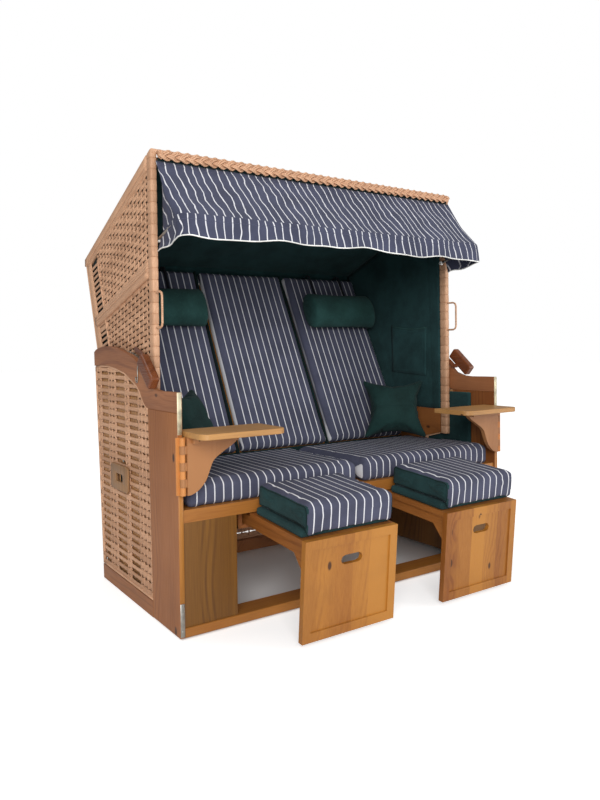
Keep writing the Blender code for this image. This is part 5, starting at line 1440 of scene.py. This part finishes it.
@dataclass
class Cushions:
    """Seat cushions, back cushions, neck rolls, pillows and footrest cushions."""

    shop: Workshop
    seat_half: float = 0.7217
    seat_low: float = 0.4035
    seat_top: float = 0.4865
    back_half: float = 0.6979
    back_thick: float = 0.050
    roll_place: tuple[float, float, float] = (0.472, -0.0590, 0.660)
    roll_size: tuple[float, float, float] = (0.376, 0.0545, 0.0895)
    roll_room: tuple[float, float, float] = (0.1948, 0.0584, 0.0948)
    strap_places: Point = (0.397, 0.583)
    pillow_reach: float = 0.520
    pillow_half: float = 0.142
    pillow_deep: float = 0.024
    turn: float = math.radians(37.0)
    foot_half: float = 0.3665 / 2
    foot_front: float = 0.0042
    foot_rear: float = 0.3110
    foot_high: float = 0.1120
    foot_tilt: float = math.radians(4.8)

    def build(self) -> None:
        """Sew and fill every cushion."""
        self.sew_seat()
        self.sew_back()
        self.sew_rolls()
        self.sew_pillows()
        self.sew_footrests()

    def sew_seat(self) -> None:
        """Sew the two seat cushions, each narrower beside the hood."""
        piece = stuffed("seat_cushion_form", (0.009, 0.010, self.seat_low), (self.seat_half - 0.007, 0.476, 0.4780),
                        0.016, 0.011)

        def settle(co: Vector) -> Vector:
            """Narrow the rear, keep the foot flat and wrinkle the cloth a little."""
            x, y, z = co
            drawn = 0.036 * ease(y, 0.205, 0.250)
            x = 0.0025 + (x - 0.0025) * (1 - drawn / (self.seat_half - 0.0025))
            share = (z - self.seat_low) / 0.08
            z += 0.0009 * math.sin(13 * y + 4 * x) * math.sin(5 * x + 2) * share
            z = max(self.seat_low, min(z, self.seat_top + 0.004))
            y += 0.0012 * math.sin(24 * x) * (1 - ease(y, 0.0, 0.08))
            return Vector((x, max(y, 0.0035), z))
        shape(piece, settle)
        for name, side in SIDES.items():
            matrix = Matrix.Translation((0, FRONT, 0)) @ Matrix.Diagonal((side, 1, 1, 1))
            cushion = copied(piece, f"seat_cushion_cloth_{name}", matrix)
            self.shop.fit(cushion, STRIPES, "base", "striped_cloth", [f"seat_cushion_{name}"])
        bpy.data.objects.remove(piece, do_unlink=True)

    def lean_matrix(self) -> Matrix:
        """Give the matrix of the leaning back rest."""
        return (Matrix.Translation((0, BACK_FOOT[0] + FRONT, BACK_FOOT[1])) @ Matrix.Rotation(-LEAN, 4, "X"))

    def sew_back(self) -> None:
        """Sew the three long back cushions and lay dark strips of painted shade between them and along their foot."""
        width = 2 * self.back_half / 3
        half = width / 2 - 0.002
        piece = stuffed("back_cushion_form", (-half + 0.005, 0.008, 0.012), (half - 0.005, self.back_thick, 0.901),
                        0.014, 0.010)

        def settle(co: Vector) -> Vector:
            """Keep the rear flat and dimple the front softly."""
            x, y, z = co
            y = min(y, self.back_thick - 0.0003)
            front = 1 - ease(y, 0.0, 0.03)
            y += 0.0010 * front * math.sin(12 * z + 3 * x) * math.sin(7 * z)
            return Vector((max(-half + 0.0004, min(half - 0.0004, x)), max(0.0008, y), max(0.0085, min(0.9065, z))))
        shape(piece, settle)
        for number, name in enumerate(("left", "middle", "right")):
            place = self.lean_matrix() @ Matrix.Translation(((number - 1) * width, 0, 0))
            cushion = copied(piece, f"back_cushion_cloth_{name}", place)
            self.shop.fit(cushion, STRIPES, "hood", "striped_cloth", [f"back_cushion_{name}"])
        bpy.data.objects.remove(piece, do_unlink=True)
        self.shade_gaps(width)

    def shade_gaps(self, width: float) -> None:
        """Lay dark strips of painted shade between the back cushions and along their foot."""
        spans = [((-0.6970, 0.0400, -0.0140), (0.6970, 0.0494, 0.0200))]
        spans += [((mark * width / 2 - 0.0018, 0.0220, 0.0100), (mark * width / 2 + 0.0018, 0.0494, 0.9050))
                  for mark in (-1, 1)]
        strips = []
        for number, (low, high) in enumerate(spans):
            points = [(x, y - FRONT, z) for x in (low[0], high[0]) for y in (low[1], high[1])
                      for z in (low[2], high[2])]
            faces = [(0, 1, 3, 2), (4, 6, 7, 5), (0, 4, 5, 1), (2, 3, 7, 6), (0, 2, 6, 4), (1, 5, 7, 3)]
            strips.append(mesh_object(f"gap_strip_{number}", points, faces, smooth=False))
        form = join("back_gap_form", strips)
        # These near-black strips are painted shade in the gaps between the cushions.
        cloth = copied(form, "back_gap_painted_shade", self.lean_matrix())
        self.shop.fit(cloth, GREEN_BLACK, "hood", "green_cloth")
        bpy.data.objects.remove(form, do_unlink=True)

    def sew_rolls(self) -> None:
        """Turn the neck rolls, gather their ends and hang them on straps."""
        room = self.roll_room
        bpy.ops.object.select_all(action="DESELECT")
        length, deep, high = self.roll_size
        bpy.ops.mesh.primitive_cylinder_add(vertices=40, radius=1.0, depth=length, rotation=(0, math.pi / 2, 0))
        piece = bpy.context.active_object
        bpy.ops.object.transform_apply(location=True, rotation=True, scale=True)
        shape(piece, lambda co: Vector((co.x, co.y * deep, co.z * high)))
        apply_modifier(piece, "BEVEL", width=0.014, segments=3, limit_method="ANGLE", angle_limit=math.radians(50))
        apply_modifier(piece, "REMESH", mode="VOXEL", voxel_size=0.005)
        fill(piece, 0.0045, 3.0)
        piece.data.shade_smooth()

        def settle(co: Vector) -> Vector:
            """Gather the ends and wrinkle the cloth along the roll."""
            x, y, z = co
            end = ease(abs(x), 0.130, 0.192)
            angle = math.atan2(z, y)
            fold = 1 + 0.010 * end * math.sin(11 * angle) + 0.004 * math.sin(3 * angle + 9 * x)
            return Vector((max(-room[0], min(room[0], x)), max(-room[1] - 0.0002, min(room[1], y * fold)),
                           max(-room[2], min(room[2], z * fold))))
        shape(piece, settle)
        for name, side in SIDES.items():
            across, out, up = self.roll_place
            place = self.lean_matrix() @ Matrix.Translation((side * across, out, up))
            roll = copied(piece, f"neck_roll_cloth_{name}", place)
            self.shop.fit(roll, GREEN, "hood", "green_cloth", [f"neck_roll_{name}"])
            self.hang_straps(name, side)
        bpy.data.objects.remove(piece, do_unlink=True)

    def hang_straps(self, name: str, side: int) -> None:
        """Run two flat straps from a neck roll up over the top of the back cushions."""
        straps = []
        for number, reach in enumerate(self.strap_places):
            strand = StrandMesh(shoulder=0.92)
            middle = side * reach
            line = [(-0.040, 0.748), (-0.024, 0.760), (-0.010, 0.775), (-0.0024, 0.800), (-0.0018, 0.860),
                    (0.0005, 0.898), (0.010, 0.9085), (0.030, 0.9095), (0.048, 0.9085)]
            points = [self.lean_matrix() @ Vector((middle, y, z)) - Vector((0, FRONT, 0)) for y, z in line]
            outs = (self.lean_matrix().to_3x3() @ Vector((0, -1, 0.25))).normalized()
            strand.add_flat(points, Vector((1, 0, 0)), outs, 0.0075, 0.0011, 0.5)
            straps.append(strand.to_object(f"strap_{name}_{number}"))
        self.shop.fit(join(f"roll_straps_{name}", straps), STRAP, "hood", "green_cloth")

    def sew_pillows(self) -> None:
        """Sew two square pillows and lean them in the corners."""
        half, deep = self.pillow_half, self.pillow_deep
        piece = stuffed("pillow_form", (-half, -deep, -half), (half, deep, half), 0.012, 0.030, 0.005, 5.0, 0.55)

        def settle(co: Vector) -> Vector:
            """Keep the pillow in its room and crease it towards its corners."""
            x, y, z = co
            u, w = x / 0.15, z / 0.15
            corner = ease(abs(u) * abs(w), 0.45, 0.9)
            y += 0.0022 * corner * math.sin(70 * (abs(x) - abs(z)))
            y *= 1 - 0.08 * math.exp(-(z / 0.008) ** 2) * (1 - u * u)
            return Vector((x * (1 + 0.045 * corner), max(-0.0520, min(0.0520, y)), z * (1 + 0.045 * corner)))
        shape(piece, settle)
        z = 0.486 + 0.0003 + 0.150 * math.cos(LEAN) + 0.0525 * 0.12 * math.sin(LEAN)
        up = (z - BACK_FOOT[1] - 0.154 * math.sin(LEAN)) / math.cos(LEAN)
        y = BACK_FOOT[0] + up * math.sin(LEAN) - 0.154 * math.cos(LEAN)
        for name, side in SIDES.items():
            place = (Matrix.Translation((side * self.pillow_reach, y + FRONT, z))
                     @ Matrix.Rotation(-side * self.turn, 4, "Z") @ Matrix.Rotation(-LEAN, 4, "X"))
            pillow = copied(piece, f"pillow_cloth_{name}", place)
            self.shop.fit(pillow, PILLOW_CLOTH, "base", "green_cloth", [f"pillow_{name}"])
        bpy.data.objects.remove(piece, do_unlink=True)

    def sew_footrests(self) -> None:
        """Sew the footrest cushions: striped over the top and front, green at the sides."""
        half, tilt, front, rear, high = (self.foot_half, self.foot_tilt, self.foot_front, self.foot_rear,
                                         self.foot_high)
        piece = stuffed("footrest_form", (-half + 0.006, 0.008, 0.0300), (half - 0.006, 0.302, 0.1040), 0.012, 0.008,
                        0.0055)
        layer = stuffed("footrest_layer_form", (-half + 0.003, 0.030, 0.0005), (half - 0.003, 0.303, 0.0270), 0.008,
                        0.003, 0.0055)

        def settle(co: Vector) -> Vector:
            """Keep the layer in its room."""
            x, y, z = co
            return Vector((max(-half, min(half, x)), max(0.026, min(0.3100, y)), max(0.0004, min(0.0295, z))))

        def drape(co: Vector) -> Vector:
            """Round the cushion over its front and rear and draw its front down to the panel."""
            x, y, z = max(-half, min(half, co.x)), max(front, min(rear, co.y)), min(high, co.z)
            for middle, away, round_off in ((front, 1, 0.042), (rear, -1, 0.024)):
                across, above = round_off - away * (y - middle), z - high + round_off
                if across > 0 and above > 0 and math.hypot(across, above) > round_off:
                    scale = round_off / math.hypot(across, above)
                    y, z = middle + away * (round_off - across * scale), high - round_off + above * scale
            low = max(0.0, (0.060 - z) / 0.030) * (1 - ease(y, 0.012, 0.032))
            return Vector((x, y, max(0.0008, z - 0.0285 * low)))
        shape(piece, drape)
        shape(layer, settle)
        piece.data.materials.clear()
        for finish in (STRIPES, GREEN_DARK):
            piece.data.materials.append(self.shop.material(finish))
        for face in piece.data.polygons:
            face.material_index = int(abs(face.normal.x) > 0.72)
        welts = [self.pipe_side(piece, mark, half) for mark in (-1, 1)]
        pipes = join("footrest_piping_form", welts)
        for name, side in SIDES.items():
            centre, ride = side * (0.1153 + half), f"footrest_{name}"
            place = Matrix.Translation((centre, -0.309 + FRONT, 0.331)) @ Matrix.Rotation(tilt, 4, "X")
            cushion = copied(piece, f"footrest_cushion_cloth_{name}", place)
            under = copied(layer, f"footrest_layer_cloth_{name}", place)
            edge = copied(pipes, f"footrest_piping_{name}", place)
            self.shop.fit(cushion, None, ride, "striped_cloth", [f"footrest_cushion_{name}"])
            self.shop.fit(under, GREEN_DARK, ride, "green_cloth")
            self.shop.fit(edge, GREEN_BLACK, ride, "striped_cloth")
            for thing in (cushion, under, edge):
                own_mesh(thing)
        for form in (piece, layer, pipes):
            bpy.data.objects.remove(form, do_unlink=True)

    @staticmethod
    def pipe_side(piece: bpy.types.Object, mark: int, half: float) -> bpy.types.Object:
        """Sew piping round one side face of a footrest cushion, laid on the filled cloth."""
        low, high, path = Vector((0.012, 0.0345)), Vector((0.3030, 0.1060)), []
        for start, middle, corner in ((math.pi, (low.x, low.y), 0.006), (1.5 * math.pi, (high.x, low.y), 0.012),
                                      (0.0, (high.x, high.y), 0.022), (0.5 * math.pi, (low.x, high.y), 0.038)):
            centre = (middle[0] + math.copysign(corner, 0.15 - middle[0]),
                      middle[1] + math.copysign(corner, 0.06 - middle[1]))
            for step in range(5):
                angle = start + 0.5 * math.pi * step / 4
                path.append((centre[0] + corner * math.cos(angle), centre[1] + corner * math.sin(angle)))
        full = []
        for (a0, b0), (a1, b1) in zip(path, [*path[1:], path[0]]):
            count = max(1, round(math.hypot(a1 - a0, b1 - b0) / 0.012))
            full += [(a0 + (a1 - a0) * n / count, b0 + (b1 - b0) * n / count) for n in range(count)]
        line = []
        for a, b in [*full, full[0], full[1]]:
            found, spot, normal, _ = piece.closest_point_on_mesh(Vector((mark * (half - 0.0035), a, b)))
            line.append(spot + normal * 0.0006 if found else Vector((mark * half, a, b)))
        edge = StrandMesh(sides=8)
        edge.add_round(line, 0.0017, 0.6)
        thing = edge.to_object("footrest_piping_side")
        thing.data.transform(Matrix.Translation((0, -FRONT, 0)))
        return thing


# Awning


@dataclass
class Awning:
    """The striped awning: one cut and sewn sheet over its bow, with white piping at the hem."""

    shop: Workshop
    half: float = 0.7060
    back: float = 0.2335
    front: float = 0.0400
    top: float = 1.5535
    rod: float = 1.3450
    side_rod: float = 1.3120
    hem: float = 1.2760
    side_hem: float = 1.2440
    sag: float = 0.0070
    gap: float = 0.0220
    slant: float = 0.0130
    corner: float = 0.0480
    slope_steps: int = 30
    hem_steps: int = 12
    side_steps: int = 22
    front_steps: int = 176
    seam: float = 0.004
    turned_in: float = 0.030

    def level(self, slope: float, hem: float) -> tuple[float, float, float]:
        """Give front Y, front Z and side Z of the cloth at a share of the slope and of the hem."""
        front_y = self.back + (self.front - self.back) * slope - self.slant * hem ** 0.7
        sag = self.sag * math.sin(math.pi * slope)
        front_z = self.top + (self.rod - self.top) * slope + (self.hem - self.rod) * hem - sag
        side_z = self.top + (self.side_rod - self.top) * slope + (self.side_hem - self.side_rod) * hem
        return front_y, front_z, side_z

    def rows(self) -> tuple[list[list[Vector]], list[list[float]]]:
        """Lay out the cloth row by row, from the roof to the hem, with the place of each point across the cut."""
        side_steps, front_steps = self.side_steps, self.front_steps
        levels = [(n / self.slope_steps, 0.0) for n in range(self.slope_steps + 1)]
        levels += [(1.0, n / self.hem_steps) for n in range(1, self.hem_steps + 1)]
        ahead = Vector((self.front - self.back, self.rod - self.top)).normalized()
        found, cuts = [], []
        for slope, hem in levels:
            front_y, front_z, side_z = self.level(slope, hem)
            row, cut = [], []
            for n in range(side_steps):
                share = n / side_steps
                soft = share * share * (3 - 2 * share)
                y = self.back + (front_y - self.back) * share
                bulge = 0.0090 * hem * math.sin(2.6 * math.pi * share + 0.5) * (1 - share)
                z = side_z + (front_z - side_z) * (0.4 * share + 0.6 * soft) + bulge
                z -= 0.0035 * (1 - slope) * (1 - share)
                drawn = self.gap * (1 - share) ** 1.5 * min(1.0, slope / 0.2) * (1 - 0.9 * hem)
                crease = 0.0030 * slope * math.sin(10 * share + 5 * slope + 1.0) * share * (1 - share) * 4
                row.append(Vector((-self.half + drawn + abs(crease), y, z)))
                off = abs((y - self.back) * ahead.y - (z - self.top) * ahead.x)
                cut.append(-self.half - 0.68 * min(off, y - front_y + 0.06 * (1 - hem)))
            for n in range(front_steps + 1):
                share = n / front_steps
                x = self.half * (2 * share - 1)
                waves = math.sin(15.5 * x + 1.2) + 0.6 * math.sin(27.0 * x + 2.6)
                fold = 0.0060 * hem * abs(waves) / 1.6
                ruffle = 0.0024 * math.sin(26 * x + 5 * slope) * slope * (1 - hem)
                dip = hem * (0.0050 * math.sin(15.5 * x + 0.6) + 0.0040 * math.sin(6.1 * x + 2.0)
                             + 0.0022 * math.sin(33 * x))
                sink = 0.0050 * math.sin(math.pi * slope) * math.sin(9.5 * x + 1.0)
                sink += 0.0026 * math.sin(math.pi * slope) * math.sin(23 * x + 7 * slope)
                away = 1 - ease(abs(x), self.half - 0.05, self.half)
                row.append(Vector((x, front_y - (fold - ruffle) * away, front_z + (dip - sink) * away)))
                cut.append(x)
            row += [Vector((-p.x, p.y, p.z)) for p in reversed(row[:side_steps])]
            cut += [-place for place in reversed(cut[:side_steps])]
            found.append([self._rounded(point, front_y) for point in row])
            cuts.append(cut)
        return found, cuts

    def _rounded(self, point: Vector, front_y: float) -> Vector:
        """Move a point near a front corner onto the corner's round."""
        size = min(self.corner, 0.45 * (self.back - front_y))
        across, deep = self.half - abs(point.x), point.y - front_y
        if size < 0.002 or across >= size or deep >= size:
            return point
        place = across - deep
        angle = (1 - place / size) * math.pi / 4
        x = self.half - size + size * math.sin(angle)
        y = front_y + size - size * math.cos(angle)
        return Vector((math.copysign(x, point.x), y, point.z))

    def build(self) -> None:
        """Cut, sew and hang the awning, and dress its bow."""
        rows, cuts = self.rows()
        wide = len(rows[0])
        points = [point for row in rows for point in row]
        faces = [(r * wide + c, r * wide + c + 1, (r + 1) * wide + c + 1, (r + 1) * wide + c)
                 for r in range(len(rows) - 1) for c in range(wide - 1)]
        cloth = mesh_object("awning_cloth", points, faces)
        downs = [0.0]
        for before, after in zip(rows, rows[1:]):
            downs.append(downs[-1] + (after[wide // 2] - before[wide // 2]).length)
        lay = cloth.data.uv_layers.new(name="unrolled")
        for loop in cloth.data.loops:
            r, c = divmod(loop.vertex_index, wide)
            lay.data[loop.index].uv = (cuts[r][c], downs[r])
        apply_modifier(cloth, "SOLIDIFY", thickness=0.0016, offset=0.0)
        cloth.data.shade_smooth()
        self.shop.fit(cloth, AWNING_STRIPES, "", "striped_cloth", ["awning_cover"])
        hem = [p + Vector((0, 0, -0.0012)) for p in rows[-1][::2]]
        edge = rod("awning_piping", hem, 0.0024, 8)
        self.shop.fit(edge, PIPING, "", "striped_cloth")
        for piece in (cloth, edge):
            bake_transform(piece)
        self.shop.dress("awning_bow", STEEL)


# Footrests, tables, grips and fittings


@dataclass
class Footrests:
    """The wooden parts of the two footrests."""

    shop: Workshop

    def build(self) -> None:
        """Dress the panels and frames of both footrests."""
        for name in SIDES:
            self.shop.dress(f"footrest_front_{name}", HONEY_UPRIGHT)
            self.shop.dress(f"footrest_frame_{name}", HONEY_DEEP)


@dataclass
class Tables:
    """The two side tables on their finger hinges."""

    shop: Workshop

    def build(self) -> None:
        """Dress both tables and add their screws."""
        for name, side in SIDES.items():
            self.shop.dress(f"table_top_{name}", TABLE_TIMBER)
            self.shop.dress(f"table_console_{name}", HINGE_TIMBER)
            self.shop.dress(f"hinge_leaf_{name}", LEAF_TIMBER)
            self.shop.dress(f"hinge_pin_{name}", STEEL)
            heads = [bar(f"leaf_screw_{name}_{n}", (side * 0.7275, -0.0050, 0.4640 + 0.0517 * n), "Y", 0.0030, 0.0014)
                     for n in range(4)]
            self.shop.fit(join(f"leaf_screws_{name}", heads), DARK_STEEL, "base", "steel")
            pins = [bar(f"batten_screw_{name}_{n}", (side * (0.694 - 0.055 * n), -0.0440, 0.6260), "Y", 0.0032,
                        0.0016) for n in range(3)]
            self.shop.fit(join(f"batten_screws_{name}", pins), DARK_STEEL, f"table_{name}", "steel")


@dataclass
class Catches:
    """The hood's catches: their wooden grips and wire hooks."""

    shop: Workshop

    def build(self) -> None:
        """Dress both catches and bend the wire hooks."""
        for name, side in SIDES.items():
            self.shop.dress(f"catch_grip_{name}", GRIP_TIMBER)
            x = side * 0.7522
            path = [(x - side * 0.006, 0.290, 0.8560), (x, 0.291, 0.8680), (x, 0.299, 0.8672), (x, 0.310, 0.8600),
                    (x, 0.3165, 0.8480), (x, 0.3180, 0.8300), (x, 0.3182, 0.8080), (x, 0.3210, 0.7985),
                    (x, 0.3270, 0.7952), (x, 0.3330, 0.7985), (x, 0.3355, 0.8060), (x, 0.3358, 0.8160)]
            self.shop.fit(rod(f"wire_hook_{name}", path, 0.0020, 8), STEEL, "base", "steel")


@dataclass
class Fittings:
    """Edge plates, corner plates and screws on the boards."""

    shop: Workshop

    @staticmethod
    def cut_plate(name: str, side: int, low: float, high: float, inner: float = 0.7335, outer: float = 0.7487,
                  front: float = -0.0010) -> bpy.types.Object:
        """Cut a thin upright plate for the front edge of a side board, between two heights."""
        return block(name, (side * inner, front, low), (side * outer, 0.0002, high), 0.0004, 1)

    def build(self) -> None:
        """Fit the small metal parts."""
        for name, side in SIDES.items():
            corner = self.cut_plate(f"corner_plate_{name}", side, 0.004, 0.110)
            heads = [bar(f"corner_screw_{name}_{n}", (side * 0.741, -0.0014, z), "Y", 0.0032, 0.0016)
                     for n, z in enumerate((0.024, 0.088))]
            self.shop.fit(join(f"corner_fitting_{name}", [corner, *heads]), STEEL, "base", "steel")
            lath = self.cut_plate(f"edge_lath_{name}", side, 0.1120, 0.4520, 0.7330, 0.7492, -0.0012)
            self.shop.fit(lath, HONEY_UPRIGHT, "base", "pine")
            plate = self.cut_plate(f"edge_plate_{name}", side, 0.6420, 0.7748)
            self.shop.fit(plate, PALE_STEEL, "base", "steel")
            clip = bar(f"bow_clip_{name}", (side * 0.6905, 0.262, 1.290), "X", 0.0085, 0.0120)
            self.shop.fit(clip, PIPING, "hood", "steel")


# Studio


@dataclass
class Studio:
    """A pale floor, soft lamps and the camera."""

    lens: float = 30.71
    place: tuple[float, float, float] = (-1.6302, -2.3003, 0.9056)
    turns: tuple[float, float, float] = (-0.5888, -0.0219, -0.0132)
    shifts: Point = (0.01174, -0.0448)
    lamps: tuple = (("key", (-3.3, -4.8, 2.5), (0.0, 0.0, 0.8), 250.0),
                    ("fill", (3.7, -3.9, 1.9), (0.0, 0.0, 0.7), 90.0),
                    ("top", (0.0, 0.6, 4.2), (0.0, 0.0, 0.5), 45.0))

    def build(self) -> None:
        """Set the floor, the lamps, the world and the camera."""
        self.lay_floor()
        for name, place, target, power in self.lamps:
            self.hang_lamp(name, place, target, power)
        self.light_world()
        self.set_camera()

    def lay_floor(self) -> None:
        """Lay a wide pale floor that keeps the chair's shadow."""
        bpy.ops.object.select_all(action="DESELECT")
        bpy.ops.mesh.primitive_plane_add(size=60.0, location=(0, 0, -0.001))
        floor = bpy.context.active_object
        floor.name = "floor"
        material, bench, shader, place = start_material("pale_floor")
        preset(shader, {"Base Color": (0.86, 0.86, 0.86, 1.0), "Roughness": 0.9, "Specular IOR Level": 0.1,
                        "Emission Color": (1.0, 1.0, 1.0, 1.0)})
        path = bench.add("ShaderNodeLightPath")
        seen = bench.work("MAXIMUM", path.outputs["Is Camera Ray"], path.outputs["Is Transmission Ray"])
        split = bench.add("ShaderNodeSeparateXYZ", {0: place}).outputs
        away = bench.add("ShaderNodeVectorMath", {0: place}, operation="LENGTH").outputs["Value"]
        # The floor glows for the camera so it reads white, more further away; the glow stops in a box under the
        # chair, painted shade that leaves the floor there darker.
        far = bench.ramp(away, 1.2, 4.0, 0.52, 0.80)
        beside = bench.minus(bench.work("ABSOLUTE", split[0]), 0.735)
        behind = bench.minus(bench.work("ABSOLUTE", bench.minus(split[1], 0.02)), 0.355)
        under = bench.ramp(bench.work("MAXIMUM", beside, behind), 0.0, 0.02)
        bench.put(bench.times(seen, bench.times(far, under)), shader.inputs["Emission Strength"])
        floor.data.materials.append(material)

    def hang_lamp(self, name: str, place: Sequence[float], target: Sequence[float], power: float) -> None:
        """Hang one square soft lamp that looks at a point."""
        data = bpy.data.lights.new(name, "AREA")
        data.size = 3.0
        data.energy = power
        lamp = bpy.data.objects.new(name, data)
        bpy.context.scene.collection.objects.link(lamp)
        lamp.location = place
        lamp.rotation_euler = (Vector(target) - Vector(place)).to_track_quat("-Z", "Y").to_euler()

    def light_world(self) -> None:
        """Fill the room with soft light, and show white behind the chair."""
        world = bpy.data.worlds.new("studio")
        bpy.context.scene.world = world
        world.use_nodes = True
        bench = NodeBench(world.node_tree)
        back = world.node_tree.nodes["Background"]
        path = bench.add("ShaderNodeLightPath")
        seen = bench.work("MAXIMUM", path.outputs["Is Camera Ray"], path.outputs["Is Transmission Ray"])
        bench.put(bench.plus(bench.times(seen, 0.66), 0.34), back.inputs["Strength"])
        back.inputs["Color"].default_value = (1.0, 1.0, 1.0, 1.0)

    def set_camera(self) -> None:
        """Set the camera at the place of the photograph's."""
        data = bpy.data.cameras.new("camera")
        data.sensor_width = data.sensor_height = 36.0
        data.sensor_fit = "AUTO"
        data.lens = self.lens
        data.shift_x, data.shift_y = self.shifts
        camera = bpy.data.objects.new("camera", data)
        bpy.context.scene.collection.objects.link(camera)
        turn = (Matrix.Rotation(self.turns[0], 4, "Z") @ Matrix.Rotation(math.pi / 2 + self.turns[1], 4, "X")
                @ Matrix.Rotation(self.turns[2], 4, "Z"))
        camera.matrix_world = Matrix.Translation(self.place) @ turn
        bpy.context.scene.camera = camera
        bpy.context.scene.view_settings.view_transform = "Standard"


def main() -> None:
    """Build the chair's looks in order, then the studio."""
    logging.basicConfig(level=logging.INFO, format="%(name)s %(message)s")
    shop = Workshop()
    for part in (Basket(shop), Hood(shop), Cushions(shop), Awning(shop), Footrests(shop), Tables(shop),
                 Catches(shop), Fittings(shop)):
        part.build()
    Studio().build()
    LOG.info("%d new pieces", shop.count)


if __name__ == "__main__":
    main()
